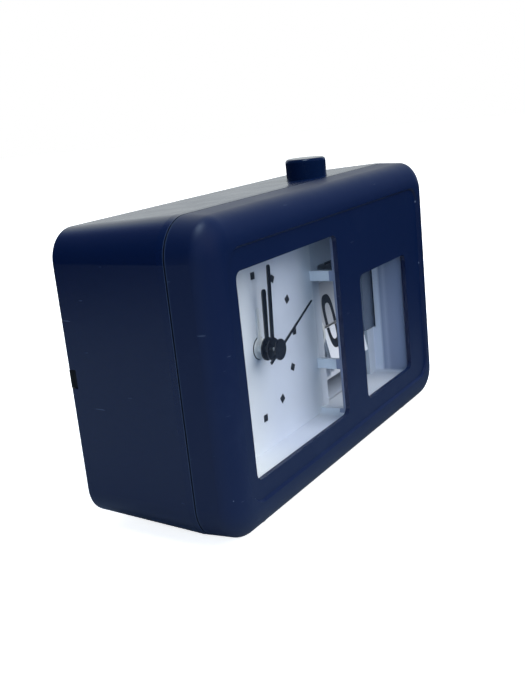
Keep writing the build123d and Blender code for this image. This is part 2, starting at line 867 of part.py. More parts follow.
def hand(front_depth, back_depth, blade, hub_radius, tube_radius, bore):
    """Hand with its hub and the short tube that is pressed on its arbor."""
    widths, length, angle, thickness = blade
    with BuildPart() as piece:
        with BuildSketch(movement_plane(front_depth)):
            Circle(hub_radius)
            hand_blade(widths, length, angle)
        extrude(amount=-thickness)
        with BuildSketch(movement_plane(front_depth)):
            Circle(tube_radius)
        extrude(amount=-(back_depth - front_depth))
        with BuildSketch(movement_plane(front_depth)):
            Circle(bore)
        extrude(amount=-(back_depth - front_depth), mode=Mode.SUBTRACT)
    return piece.part


def tube_wheel(teeth, wheel_depth, front_depth, tube_radius, bore, turn=0.0):
    """Toothed wheel on a tube that reaches forward to its hand."""
    back_depth = wheel_depth + wheel_thickness
    with BuildPart() as piece:
        with BuildSketch(movement_plane(wheel_depth)):
            tooth_outline(teeth, gear_module, turn)
        extrude(amount=-wheel_thickness)
        with BuildSketch(movement_plane(front_depth)):
            Circle(tube_radius)
        extrude(amount=-(back_depth - front_depth))
        with BuildSketch(movement_plane(front_depth)):
            Circle(bore)
        extrude(amount=-(back_depth - front_depth), mode=Mode.SUBTRACT)
    return piece.part


with BuildPart() as second_hand:
    with BuildSketch(movement_plane(second_hand_depth)):
        Circle(second_hub_radius)
    extrude(amount=-second_disc_thickness)
    fillet(second_hand.faces().sort_by(Axis.Y)[0].edges(), hand_thickness / 2)
    with BuildSketch(movement_plane(second_hand_depth)):
        Circle(second_boss_radius)
    extrude(amount=-second_hub_height)
    with BuildSketch(movement_plane(second_hand_depth + second_disc_thickness - hand_thickness)):
        hand_blade(second_hand_widths, second_hand_length, second_hand_angle, second_hand_tail)
    extrude(amount=-hand_thickness)
save(second_hand.part, "second_hand")

with BuildPart() as second_wheel:
    with BuildSketch(movement_plane(second_hub_back_depth)):
        Circle(second_arbor_radius)
    extrude(amount=-(movement_back_depth - second_hub_back_depth))
    with BuildSketch(movement_plane(second_wheel_depth)):
        tooth_outline(second_teeth, fine_module)
    extrude(amount=-wheel_thickness)
save(second_wheel.part, "second_wheel")

minute_blade = (minute_hand_widths, minute_hand_length, minute_hand_angle, hand_thickness)
hour_blade = (hour_hand_widths, hour_hand_length, hour_hand_angle, hand_thickness)
alarm_blade = (alarm_hand_widths, alarm_hand_length, alarm_hand_angle, alarm_hand_thickness)

minute_hand = hand(
    minute_hand_depth,
    minute_hub_back_depth,
    minute_blade,
    minute_hub_radius,
    minute_tube_radius,
    minute_bore,
)
save(minute_hand, "minute_hand")
hour_hand = hand(
    hour_hand_depth,
    hour_hub_back_depth,
    hour_blade,
    hour_hub_radius,
    hour_tube_radius,
    hour_bore,
)
save(hour_hand, "hour_hand")
alarm_hand = hand(
    alarm_hand_depth,
    alarm_hand_back_depth,
    alarm_blade,
    alarm_hub_radius,
    alarm_tube_radius,
    alarm_bore,
)
save(alarm_hand, "alarm_hand")

cannon_pinion = tube_wheel(
    cannon_teeth, work_wheel_depth, minute_hub_back_depth, minute_tube_radius, minute_bore
)
save(cannon_pinion, "cannon_pinion")
hour_turn = mesh_turn(minute_work_pinion_teeth, 0, minute_work_angle + 180, hour_teeth)
hour_wheel = tube_wheel(
    hour_teeth, hour_wheel_depth, hour_hub_back_depth, hour_tube_radius, hour_bore, hour_turn
)
save(hour_wheel, "hour_wheel")
alarm_wheel = tube_wheel(
    alarm_teeth, alarm_wheel_depth, alarm_hand_back_depth, alarm_tube_radius, alarm_bore
)
save(alarm_wheel, "alarm_wheel")


def stacked_wheel(place, front, back, module_size):
    """Two toothed wheels in one piece on a fixed post, each as (depth, teeth, turn)."""
    back_depth = back[0] + wheel_thickness
    with BuildPart() as piece:
        for wheel_depth, teeth, turn in (front, back):
            with BuildSketch(movement_plane(wheel_depth, place)):
                tooth_outline(teeth, module_size, turn)
            extrude(amount=-(wheel_thickness + (wheel_gap if wheel_depth == front[0] else 0)))
        with BuildSketch(movement_plane(front[0], place)):
            Circle(post_radius + running_clearance)
        extrude(amount=-(back_depth - front[0]), mode=Mode.SUBTRACT)
    return piece.part


work_turn = mesh_turn(cannon_teeth, 0, minute_work_angle, minute_work_teeth)
minute_work_wheel = stacked_wheel(
    work_place,
    (hour_wheel_depth, minute_work_pinion_teeth, 0),
    (work_wheel_depth, minute_work_teeth, work_turn),
    gear_module,
)
save(minute_work_wheel, "minute_work_wheel")

fifth_pinion_turn = mesh_turn(second_teeth, 0, fifth_angle, fifth_pinion_teeth)
fifth_wheel = stacked_wheel(
    fifth_place,
    (second_wheel_depth, fifth_pinion_teeth, fifth_pinion_turn),
    (fifth_wheel_depth, fifth_teeth, 0),
    fine_module,
)
save(fifth_wheel, "fifth_wheel")

rotor_turn = mesh_turn(fifth_teeth, 0, rotor_angle, rotor_pinion_teeth)
with BuildPart() as rotor:
    with BuildSketch(movement_plane(fifth_wheel_depth, rotor_place)):
        tooth_outline(rotor_pinion_teeth, fine_module, rotor_turn)
    extrude(amount=-wheel_step)
    with BuildSketch(movement_plane(rotor_depth, rotor_place)):
        Circle(rotor_radius)
    extrude(amount=-rotor_length)
    with BuildSketch(movement_plane(fifth_wheel_depth, rotor_place)):
        Circle(post_radius + running_clearance)
    extrude(amount=-(wheel_step + rotor_length), mode=Mode.SUBTRACT)
save(rotor.part, "rotor")

with BuildPart() as stator:
    arm_length = stator_drop + stator_width
    with BuildSketch(movement_plane(stator_depth)):
        with Locations((rotor_place[0] - stator_width, rotor_place[1])):
            Rectangle(2 * stator_reach, stator_width)
        with Locations(rotor_place):
            Circle(rotor_radius + 2.2)
        for arm_x, arm_z in stator_arm_places:
            with Locations((arm_x, arm_z + stator_drop / 2)):
                Rectangle(stator_width, arm_length)
        with Locations(fifth_place):
            Circle(2 * post_radius, mode=Mode.SUBTRACT)
        with Locations(rotor_place):
            Circle(rotor_radius + 0.4, mode=Mode.SUBTRACT)
    extrude(amount=-stator_thickness)
save(stator.part, "stator")

with BuildPart() as coil:
    coil_left = stator_arm_places[0][0] + stator_width / 2
    coil_right = stator_arm_places[1][0] - stator_width / 2
    coil_middle = stator_depth + stator_thickness / 2
    with BuildSketch(side_plane(dial_x + coil_left, coil_middle, arbor_z + coil_z)):
        Circle(coil_radius)
    extrude(amount=coil_right - coil_left)
save(coil.part, "coil")

with BuildPart() as movement_board:
    board_front_depth = movement_floor_depth - movement_board_gap - stator_thickness
    with BuildSketch(movement_plane(board_front_depth, board_place)):
        RectangleRounded(movement_board_width, movement_board_height, 1.0)
    extrude(amount=-stator_thickness)
    with BuildSketch(movement_plane(board_front_depth, board_place)):
        with Locations((-movement_board_width / 4, 0)):
            Circle(2.5)
    extrude(amount=wheel_thickness)
save(movement_board.part, "movement_board")

with BuildPart() as crystal:
    crystal_x = dial_x + movement_board_x + movement_board_width / 8
    crystal_plane = side_plane(
        crystal_x, board_front_depth - crystal_radius, arbor_z + movement_board_z
    )
    with BuildSketch(crystal_plane):
        Circle(crystal_radius)
    extrude(amount=crystal_length)
save(crystal.part, "crystal")


def setting_knob(place, teeth, pinion_depth, turn):
    """Knob with its long stem and the pinion at the stem's front end."""
    back_depth = case_depth - knob_recess
    with BuildPart() as piece:
        with BuildSketch(movement_plane(pinion_depth, place)):
            tooth_outline(teeth, gear_module, turn)
        extrude(amount=-wheel_thickness)
        with BuildSketch(movement_plane(pinion_depth, place)):
            Circle(stem_radius)
        extrude(amount=-(back_depth - 1 - pinion_depth))
        with BuildSketch(movement_plane(back_depth - knob_height, place)):
            Circle(knob_radius)
            with PolarLocations(knob_radius + 0.25, knob_flutes):
                Circle(flute_radius, mode=Mode.SUBTRACT)
        extrude(amount=-knob_height)
    return piece.part


time_turn = mesh_turn(minute_work_teeth, work_turn, time_knob_angle, time_pinion_teeth)
alarm_turn = mesh_turn(alarm_teeth, 0, alarm_knob_angle, alarm_pinion_teeth)
time_knob = setting_knob(time_place, time_pinion_teeth, work_wheel_depth, time_turn)
save(time_knob, "time_knob")
alarm_knob = setting_knob(alarm_place, alarm_pinion_teeth, alarm_wheel_depth, alarm_turn)
save(alarm_knob, "alarm_knob")

# Flip calendar: the drum axis follows from the crease between the two leaves in the window
pivot_step = 360 / leaf_count
leaf_step = (lower_leaf_angle - upper_leaf_angle) / (leaf_count - 1)
crease_angle = upper_pivot_angle - pivot_step / 2
drum_axis_depth = leaf_crease_depth + leaf_pivot_radius * cos(radians(crease_angle))
drum_axis_z = leaf_crease_z - leaf_pivot_radius * sin(radians(crease_angle))
pivot_places = [
    polar_point(leaf_pivot_radius, 180 - upper_pivot_angle - pivot_step * index)
    for index in range(leaf_count)
]
leaf_turns = [180 - upper_leaf_angle - leaf_step * index for index in range(leaf_count)]
leaf_left_x = date_x - leaf_width / 2
leaf_right_x = date_x + leaf_width / 2
left_disc_x = leaf_left_x - disc_gap - disc_thickness
right_disc_x = leaf_right_x + disc_gap
drum_gear_x = right_disc_x + disc_thickness + gear_hub_length
pinion_distance = mesh_distance(date_gear_teeth, date_pinion_teeth, date_gear_module)
thumb_axle_depth = drum_axis_depth + pinion_distance
thumbwheel_radius = thumbwheel_rim_depth - thumb_axle_depth
thumb_chord = sqrt(thumbwheel_radius**2 - (cover_front_depth - thumb_axle_depth) ** 2)
thumb_turn = mesh_turn(date_gear_teeth, 0, 0, date_pinion_teeth)
frame_front_depth = frame_flange_depth


def drum_plane(x):
    """Plane that faces right, centred on the drum's axis."""
    return side_plane(x, drum_axis_depth, drum_axis_z)


def thumb_plane(x):
    """Plane that faces right, centred on the thumbwheel's axle."""
    return side_plane(x, thumb_axle_depth, drum_axis_z)


def leaf_sections(indices, length, thickness, start):
    """Adds the side sections of leaves to the sketch in progress."""
    for index in indices:
        with Locations(Location((*pivot_places[index], 0), (0, 0, leaf_turns[index]))):
            with Locations(((length + start) / 2, 0)):
                Rectangle(length - start, thickness)


with BuildPart() as date_drum:
    for disc_x in (left_disc_x, right_disc_x):
        with BuildSketch(drum_plane(disc_x)):
            Circle(disc_radius)
            with Locations(*pivot_places):
                Rectangle(disc_slot_width, disc_slot_width, mode=Mode.SUBTRACT)
        extrude(amount=disc_thickness)
    with BuildSketch(drum_plane(left_cheek_x + cheek_thickness + drum_end_play)):
        Circle(drum_core_radius)
    extrude(amount=right_cheek_x - left_cheek_x - cheek_thickness - 2 * drum_end_play)
    with BuildSketch(drum_plane(left_cheek_x)):
        Circle(drum_axle_radius + running_clearance)
    extrude(amount=right_cheek_x + cheek_thickness - left_cheek_x, mode=Mode.SUBTRACT)
save(date_drum.part, "date_drum")

with BuildPart() as date_gear:
    with BuildSketch(drum_plane(drum_gear_x)):
        tooth_outline(date_gear_teeth, date_gear_module)
        Circle(drum_core_radius + fit_clearance, mode=Mode.SUBTRACT)
    extrude(amount=date_gear_width)
save(date_gear.part, "date_gear")

with BuildPart() as date_leaves:
    ear_reach = disc_gap + ear_length
    with BuildSketch(drum_plane(leaf_left_x)):
        leaf_sections(range(1, leaf_count), leaf_length, leaf_thickness, -leaf_inset)
    extrude(amount=leaf_width)
    with BuildSketch(drum_plane(leaf_left_x - ear_reach)):
        leaf_sections(range(1, leaf_count), ear_width / 2, leaf_thickness, -ear_width / 2)
    extrude(amount=leaf_width + 2 * ear_reach)
save(date_leaves.part, "date_leaves")

with BuildPart() as date_flap:
    with BuildSketch(drum_plane(leaf_left_x)):
        leaf_sections([0], leaf_length, leaf_thickness, -leaf_inset)
    extrude(amount=leaf_width)
    for pin_x in (leaf_left_x - ear_reach, leaf_right_x):
        with BuildSketch(drum_plane(pin_x)):
            with Locations(pivot_places[0]):
                Circle(flap_pin_radius)
        extrude(amount=ear_reach)
save(date_flap.part, "date_flap")

with BuildPart() as drum_axle:
    with BuildSketch(drum_plane(left_cheek_x)):
        Circle(drum_axle_radius)
    extrude(amount=right_cheek_x + cheek_thickness - left_cheek_x)
save(drum_axle.part, "drum_axle")

with BuildPart() as thumbwheel:
    with BuildSketch(thumb_plane(drum_gear_x)):
        tooth_outline(date_pinion_teeth, date_gear_module, thumb_turn)
    extrude(amount=date_gear_width)
    with BuildSketch(thumb_plane(drum_gear_x)):
        Circle(thumb_axle_radius)
    extrude(amount=outer_lug_x + cheek_thickness - drum_gear_x)
    with BuildSketch(thumb_plane(thumbwheel_x - thumbwheel_width / 2)):
        Circle(thumbwheel_radius)
        with PolarLocations(thumbwheel_radius, thumbwheel_ribs):
            Rectangle(0.8, 0.8, mode=Mode.SUBTRACT)
    extrude(amount=thumbwheel_width)
save(thumbwheel.part, "thumbwheel")

with BuildPart() as calendar_frame:
    for cheek_x, cheek_back_depth in (
        (left_cheek_x, frame_step_depth),
        (right_cheek_x, frame_back_depth),
    ):
        with BuildSketch(side_plane(cheek_x)):
            Polygon(
                (frame_front_depth, frame_bottom_z),
                (cheek_back_depth, frame_bottom_z),
                (cheek_back_depth, drum_axis_z + cheek_shoulder_height),
                (frame_front_depth + cheek_top_depth, frame_top_z),
                (frame_front_depth, frame_top_z),
                align=None,
            )
        extrude(amount=cheek_thickness)
    frame_inner_width = right_cheek_x - left_cheek_x
    with BuildSketch(Plane.XY.offset(frame_bottom_z)):
        floor_depth = (frame_front_depth + frame_step_depth) / 2
        with Locations((left_cheek_x + frame_inner_width / 2, depth_y(floor_depth))):
            Rectangle(frame_inner_width, frame_step_depth - frame_front_depth)
    extrude(amount=frame_plate)
    # Flanges that are screwed to the tray
    for edge_x, screw_x in (
        (left_cheek_x + cheek_thickness, frame_screw_left_x),
        (right_cheek_x, frame_screw_right_x),
    ):
        flange_end_x = screw_x + copysign(3.0, screw_x - edge_x)
        with BuildSketch(face_plane(frame_front_depth)):
            for screw_z in (frame_screw_low_z, frame_screw_high_z):
                with Locations(((edge_x + flange_end_x) / 2, screw_z)):
                    Rectangle(abs(flange_end_x - edge_x), frame_flange_height)
        extrude(amount=-frame_plate)
    # Guard that hides the drum's gear in the window
    guard_bottom_z = guard_opening_bottom + guard_gap
    guard_top_z = leaf_opening_top - guard_gap
    guard_z = (guard_bottom_z + guard_top_z) / 2
    with BuildSketch(face_plane(bay_plane_depth)):
        with Locations(((guard_left_x + guard_right_x) / 2, guard_z)):
            Rectangle(guard_right_x - guard_left_x, guard_top_z - guard_bottom_z)
    extrude(amount=-guard_thickness)
    with BuildSketch(face_plane(bay_plane_depth)):
        with Locations((guard_right_x - cheek_thickness / 2, guard_z)):
            Rectangle(cheek_thickness, guard_top_z - guard_bottom_z)
    extrude(amount=-(frame_front_depth + cheek_thickness - bay_plane_depth))
    # Lug and bridge for the outer end of the thumbwheel's axle
    lug_bottom_z = drum_axis_z - thumbwheel_radius - lug_gap - cheek_thickness
    lug_depth = (frame_back_depth + thumb_axle_depth - lug_reach) / 2
    lug_width = frame_back_depth - thumb_axle_depth + lug_reach
    lug_top_z = drum_axis_z + lug_height
    with BuildSketch(side_plane(outer_lug_x)):
        with Locations((lug_depth, (lug_bottom_z + lug_top_z) / 2)):
            Rectangle(lug_width, lug_top_z - lug_bottom_z)
    extrude(amount=cheek_thickness)
    with BuildSketch(side_plane(right_cheek_x)):
        with Locations((lug_depth, lug_bottom_z + cheek_thickness / 2)):
            Rectangle(lug_width, cheek_thickness)
    extrude(amount=outer_lug_x + cheek_thickness - right_cheek_x)
    with BuildSketch(drum_plane(left_cheek_x)):
        Circle(drum_axle_radius + fit_clearance)
    extrude(amount=frame_inner_width + cheek_thickness, mode=Mode.SUBTRACT)
    with BuildSketch(thumb_plane(right_cheek_x)):
        Circle(thumb_axle_radius + running_clearance)
    extrude(amount=outer_lug_x + cheek_thickness - right_cheek_x, mode=Mode.SUBTRACT)
    with BuildSketch(face_plane(frame_front_depth)):
        with Locations(*frame_screw_places):
            Circle(small_screw_radius + screw_hole_clearance)
    extrude(amount=-frame_plate, mode=Mode.SUBTRACT)
save(calendar_frame.part, "calendar_frame")

# Snooze button with its spring, switch and board
button_y = depth_y(button_depth)
board_top_z = snooze_board_z + board_thickness
button_flange_bottom_z = button_flange_top_z - button_flange
switch_top_z = board_top_z + switch_height
stem_bottom_z = switch_top_z + switch_plunger + button_travel + 0.1


def button_disc(bottom_z, top_z, radius, mode=Mode.ADD):
    """Adds or cuts an upright cylinder on the button's axis."""
    with Locations((button_x, button_y, (bottom_z + top_z) / 2)):
        Cylinder(radius, top_z - bottom_z, mode=mode)


with BuildPart() as snooze_button:
    button_disc(button_flange_bottom_z, button_top_z, button_radius)
    fillet(snooze_button.faces().sort_by(Axis.Z)[-1].edges(), button_edge_radius)
    button_disc(button_flange_bottom_z, button_flange_top_z, button_radius + button_flange)
    button_disc(
        button_flange_bottom_z,
        button_top_z - button_roof,
        button_radius - button_wall,
        mode=Mode.SUBTRACT,
    )
    button_disc(stem_bottom_z, button_top_z - button_roof, button_stem_radius)
save(snooze_button.part, "snooze_button")


def coil_spring(radius, wire_radius, length, turns):
    """Open helical spring that stands on local zero, its ends inside the length."""
    rise = length - 2 * wire_radius
    path = Helix(rise / turns, rise, radius, center=(0, 0, wire_radius))
    with BuildPart() as piece:
        with BuildSketch(Plane(origin=path @ 0, z_dir=path % 0)):
            Circle(wire_radius)
        sweep(path=path)
    return piece.part


spring_length = button_flange_bottom_z - board_top_z - 2 * spring_seat_gap
snooze_spring = coil_spring(spring_radius, spring_wire_radius, spring_length, spring_turns)
snooze_spring = Pos(button_x, button_y, board_top_z + spring_seat_gap) * snooze_spring
save(snooze_spring, "snooze_spring")

with BuildPart() as snooze_switch:
    with Locations((button_x, button_y, board_top_z + switch_height / 2)):
        Box(switch_size, switch_size, switch_height)
    button_disc(switch_top_z, switch_top_z + switch_plunger, switch_size / 4)
save(snooze_switch.part, "snooze_switch")

with BuildPart() as snooze_board:
    board_y = button_y + snooze_board_shift
    with Locations((button_x, board_y, snooze_board_z + board_thickness / 2)):
        Box(snooze_board_width, snooze_board_depth, board_thickness)
save(snooze_board.part, "snooze_board")

# Back cover with the knob dish, the battery tub, the grille and the slots
dish_x = dial_x + (time_place[0] + alarm_place[0]) / 2
dish_z = arbor_z + (time_place[1] + alarm_place[1]) / 2
dish_margin = 2 * (knob_radius + knob_gap)
dish_width = abs(time_place[0] - alarm_place[0]) + dish_margin
dish_height = abs(time_place[1] - alarm_place[1]) + dish_margin
dish_corner = knob_radius + knob_gap
tub_width = battery_length + battery_tip + contact_space + battery_space
tub_height = 2 * (battery_radius + battery_gap)
battery_depth = case_depth - door_thickness - door_gap - battery_gap - battery_radius
tub_floor_depth = battery_depth - battery_radius - battery_gap
door_front_depth = case_depth - door_thickness
door_width = tub_width + 2 * door_lip
door_bottom_z = battery_z - tub_height / 2 - door_lip
door_top_z = battery_z + tub_height / 2 + door_lip
door_height = door_top_z - door_bottom_z
door_axis_z = door_bottom_z + door_thickness / 2
door_axis_depth = case_depth - door_thickness / 2
slot_width = alarm_switch_travel + slider_width + 2 * slider_gap

with BuildPart() as back_cover:
    with BuildSketch(face_plane(cover_front_depth, 0, shell_z)):
        RectangleRounded(cover_width, cover_height, cover_corner)
    extrude(amount=-cover_thickness)
    with BuildSketch(face_plane(dish_floor_depth - dish_wall, dish_x, dish_z)):
        RectangleRounded(
            dish_width + 2 * dish_wall, dish_height + 2 * dish_wall, dish_corner + dish_wall
        )
    extrude(amount=-(cover_front_depth - dish_floor_depth + dish_wall))
    with BuildSketch(face_plane(tub_floor_depth - tub_wall, battery_x, battery_z)):
        RectangleRounded(tub_width + 2 * tub_wall, tub_height + 2 * tub_wall, tub_wall)
    extrude(amount=-(cover_front_depth - tub_floor_depth + tub_wall))
    # Ring round the buzzer and rails beside the alarm switch
    with BuildSketch(face_plane(cover_front_depth, buzzer_x, buzzer_z)):
        Circle(buzzer_radius + fit_clearance + tub_wall)
        Circle(buzzer_radius + fit_clearance, mode=Mode.SUBTRACT)
    extrude(amount=buzzer_height)
    with BuildSketch(face_plane(cover_front_depth, alarm_switch_x, alarm_switch_z)):
        for side in (-1, 1):
            with Locations((0, side * (switch_can_height + tub_wall) / 2)):
                Rectangle(switch_can_width, tub_wall)
    extrude(amount=switch_can_depth + slider_base)
    # Everything below is cut from behind
    with BuildSketch(face_plane(case_depth, dish_x, dish_z)):
        RectangleRounded(dish_width, dish_height, dish_corner)
    extrude(amount=case_depth - dish_floor_depth, mode=Mode.SUBTRACT)
    with BuildSketch(face_plane(dish_floor_depth, dial_x, arbor_z)):
        with Locations(time_place, alarm_place):
            Circle(stem_radius + running_clearance)
    extrude(amount=dish_wall, mode=Mode.SUBTRACT)
    with BuildSketch(face_plane(case_depth, battery_x, battery_z)):
        Rectangle(tub_width, tub_height)
    extrude(amount=case_depth - tub_floor_depth, mode=Mode.SUBTRACT)
    with BuildSketch(face_plane(case_depth, battery_x, battery_z)):
        Rectangle(door_width + 2 * door_gap, door_height + 2 * door_gap)
    extrude(amount=door_thickness + door_gap, mode=Mode.SUBTRACT)
    with BuildSketch(side_plane(battery_x - door_width / 2 - door_pin_length, door_axis_depth)):
        with Locations((0, door_axis_z)):
            Circle(door_pin_radius + running_clearance)
    extrude(amount=door_width + 2 * door_pin_length, mode=Mode.SUBTRACT)
    with BuildSketch(face_plane(case_depth, thumbwheel_x, drum_axis_z)):
        RectangleRounded(thumbwheel_width + 1.4, 2 * thumb_chord + 2 * thumb_slot_gap, 1.0)
    extrude(amount=cover_thickness, mode=Mode.SUBTRACT)
    with BuildSketch(face_plane(case_depth, buzzer_x, buzzer_z)):
        for index in range(grille_slots):
            slot_z = (index - (grille_slots - 1) / 2) * grille_pitch
            with Locations((0, slot_z)):
                SlotOverall(grille_width - abs(slot_z), grille_slot_width)
    extrude(amount=cover_thickness, mode=Mode.SUBTRACT)
    with BuildSketch(face_plane(case_depth, alarm_switch_x, alarm_switch_z)):
        RectangleRounded(slot_width + 4, slider_height + 4, 1.5)
    extrude(amount=cover_thickness / 2, mode=Mode.SUBTRACT)
    with BuildSketch(face_plane(case_depth, alarm_switch_x, alarm_switch_z)):
        Rectangle(slot_width, slider_height + 2 * slider_gap)
    extrude(amount=cover_thickness, mode=Mode.SUBTRACT)
    with BuildSketch(face_plane(case_depth)):
        with Locations(*cover_post_places):
            Circle(screw_head_radius + 0.3)
    extrude(amount=cover_screw_sink, mode=Mode.SUBTRACT)
    with BuildSketch(face_plane(case_depth)):
        with Locations(*cover_post_places):
            Circle(screw_radius + screw_hole_clearance)
    extrude(amount=cover_thickness, mode=Mode.SUBTRACT)
save(back_cover.part, "back_cover")

with BuildPart() as battery_door:
    with BuildSketch(side_plane(battery_x - door_width / 2, 0, 0)):
        with Locations((door_axis_depth, (door_axis_z + door_top_z) / 2)):
            Rectangle(door_thickness, door_top_z - door_axis_z)
        with Locations((door_axis_depth, door_axis_z)):
            Circle(door_thickness / 2)
    extrude(amount=door_width)
    with BuildSketch(side_plane(battery_x - door_width / 2 - door_pin_length + 0.3, 0, 0)):
        with Locations((door_axis_depth, door_axis_z)):
            Circle(door_pin_radius)
    extrude(amount=door_width + 2 * (door_pin_length - 0.3))
    with BuildSketch(face_plane(case_depth, battery_x, door_top_z - 2.5)):
        SlotOverall(12, 2)
    extrude(amount=door_thickness / 2, mode=Mode.SUBTRACT)
save(battery_door.part, "battery_door")

battery_left_x = battery_x - tub_width / 2 + contact_space
with BuildPart() as battery:
    with BuildSketch(side_plane(battery_left_x, battery_depth, battery_z)):
        Circle(battery_radius)
    extrude(amount=battery_length)
    with BuildSketch(side_plane(battery_left_x, battery_depth, battery_z)):
        Circle(battery_tip_radius)
    extrude(amount=battery_length + battery_tip)
save(battery.part, "battery")

contact_length = contact_space - contact_thickness - spring_seat_gap
with BuildPart() as contact_spring:
    with BuildSketch(side_plane(battery_x - tub_width / 2, battery_depth, battery_z)):
        Rectangle(contact_size, contact_size)
    extrude(amount=contact_thickness)
contact_coil = coil_spring(contact_size / 4, spring_wire_radius, contact_length, 2)
contact_start = Location(
    (battery_x - tub_width / 2 + contact_thickness, depth_y(battery_depth), battery_z),
    (0, 90, 0),
)
contact_spring = contact_spring.part + contact_start * Pos(0, 0, -0.05) * contact_coil
save(contact_spring, "contact_spring")

with BuildPart() as contact_plate:
    plate_x = battery_x + tub_width / 2 - contact_thickness
    with BuildSketch(side_plane(plate_x, battery_depth, battery_z)):
        Rectangle(contact_size, contact_size)
    extrude(amount=contact_thickness)
    with BuildSketch(side_plane(plate_x, battery_depth, battery_z)):
        Circle(contact_size / 5)
    extrude(amount=-(battery_space - contact_thickness - 0.1))
save(contact_plate.part, "contact_plate")

with BuildPart() as buzzer:
    with BuildSketch(face_plane(cover_front_depth, buzzer_x, buzzer_z)):
        Circle(buzzer_radius)
    extrude(amount=buzzer_height)
save(buzzer.part, "buzzer")

slider_x = alarm_switch_x - alarm_switch_travel / 2
with BuildPart() as alarm_slider:
    with BuildSketch(face_plane(cover_front_depth - 0.1, slider_x, alarm_switch_z)):
        Rectangle(slider_width + 2, switch_can_height - 0.4)
    extrude(amount=slider_base - 0.2)
    with BuildSketch(face_plane(cover_front_depth - 0.1, slider_x, alarm_switch_z)):
        Rectangle(slider_width, slider_height)
    extrude(amount=-(cover_thickness - 0.3))
    for rib_x in (-1.2, 0, 1.2):
        with BuildSketch(face_plane(case_depth - 0.2, slider_x + rib_x, alarm_switch_z)):
            Rectangle(0.4, slider_height)
        extrude(amount=0.3, mode=Mode.SUBTRACT)
save(alarm_slider.part, "alarm_slider")

with BuildPart() as alarm_switch:
    can_back_depth = cover_front_depth - slider_base
    with BuildSketch(face_plane(can_back_depth, alarm_switch_x, alarm_switch_z)):
        Rectangle(switch_can_width, switch_can_height)
    extrude(amount=switch_can_depth)
save(alarm_switch.part, "alarm_switch")


# Screws point forward from their seats
def screw(seat_depth, place, length, radius, head_radius, head_height):
    """Pan-head screw with a cross recess."""
    x, z = place
    with BuildPart() as piece:
        with BuildSketch(face_plane(seat_depth, x, z)):
            Circle(radius - fit_clearance)
        extrude(amount=length)
        with BuildSketch(face_plane(seat_depth, x, z)):
            Circle(head_radius)
        extrude(amount=-head_height)
        with BuildSketch(face_plane(seat_depth + head_height, x, z)):
            for turn in (0, 90):
                Rectangle(head_radius, head_radius / 4, rotation=turn)
        extrude(amount=head_height / 2, mode=Mode.SUBTRACT)
    return piece.part


screw_sets = (
    (
        "case_screws",
        case_post_places,
        case_screw_seat_depth,
        (case_screw_length, screw_radius, screw_head_radius, screw_head),
    ),
    (
        "cover_screws",
        cover_post_places,
        case_depth - cover_screw_sink,
        (cover_screw_length, screw_radius, screw_head_radius, cover_screw_sink - 0.1),
    ),
    (
        "tray_screws",
        tray_ear_places,
        flange_back_depth,
        (tray_screw_length, small_screw_radius, small_screw_head_radius, small_screw_head),
    ),
    (
        "frame_screws",
        frame_screw_places,
        frame_flange_depth + frame_plate,
        (frame_screw_length, small_screw_radius, small_screw_head_radius, small_screw_head),
    ),
    (
        "movement_screws",
        movement_screw_places,
        movement_ear_depth + movement_ear_thickness,
        (movement_screw_length, small_screw_radius, small_screw_head_radius, small_screw_head),
    ),
)
for set_name, places, seat_depth, sizes in screw_sets:
    save(Compound([screw(seat_depth, place, *sizes) for place in places]), set_name)

# Rubber feet, cut to the slope of the shells that they are stuck to
foot_names = ("foot_front_left", "foot_front_right", "foot_rear_left", "foot_rear_right")
foot_places = [
    (side * (side_x - foot_inset_x), depth_y(depth))
    for depth in (front_foot_depth, rear_foot_depth)
    for side in (-1, 1)
]
for foot_name, foot_place in zip(foot_names, foot_places):
    with BuildPart() as foot:
        with BuildSketch(Plane.XY):
            with Locations(foot_place):
                Circle(foot_radius)
        extrude(amount=foot_height + rear_draft + 1)
        add(outer_front, mode=Mode.SUBTRACT)
        add(rear_block.part, mode=Mode.SUBTRACT)
    save(foot.part, foot_name)
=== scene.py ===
"""Looks of the table clock: materials, card numbers, light and the photograph's view."""
import json
from math import copysign, cos, radians, sin

import bmesh
import bpy
from mathutils import Euler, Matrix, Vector


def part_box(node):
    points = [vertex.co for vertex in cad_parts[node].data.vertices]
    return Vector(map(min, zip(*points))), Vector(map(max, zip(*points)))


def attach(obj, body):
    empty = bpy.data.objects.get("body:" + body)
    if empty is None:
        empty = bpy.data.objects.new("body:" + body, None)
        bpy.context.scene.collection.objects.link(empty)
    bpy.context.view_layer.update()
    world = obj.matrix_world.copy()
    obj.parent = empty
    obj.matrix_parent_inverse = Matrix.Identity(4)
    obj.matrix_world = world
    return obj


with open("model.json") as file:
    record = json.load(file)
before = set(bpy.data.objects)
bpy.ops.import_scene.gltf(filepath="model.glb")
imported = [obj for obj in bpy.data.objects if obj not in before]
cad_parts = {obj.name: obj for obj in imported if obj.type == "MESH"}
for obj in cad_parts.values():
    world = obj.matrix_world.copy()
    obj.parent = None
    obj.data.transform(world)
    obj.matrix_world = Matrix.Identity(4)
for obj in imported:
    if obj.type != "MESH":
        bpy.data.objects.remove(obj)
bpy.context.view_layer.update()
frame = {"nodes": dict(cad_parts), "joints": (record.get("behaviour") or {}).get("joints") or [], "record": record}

X, Y, Z = range(3)
# Millimetres in a metre: the cards and the insert are in millimetres, the rest in metres
PER_METRE = 1000.0


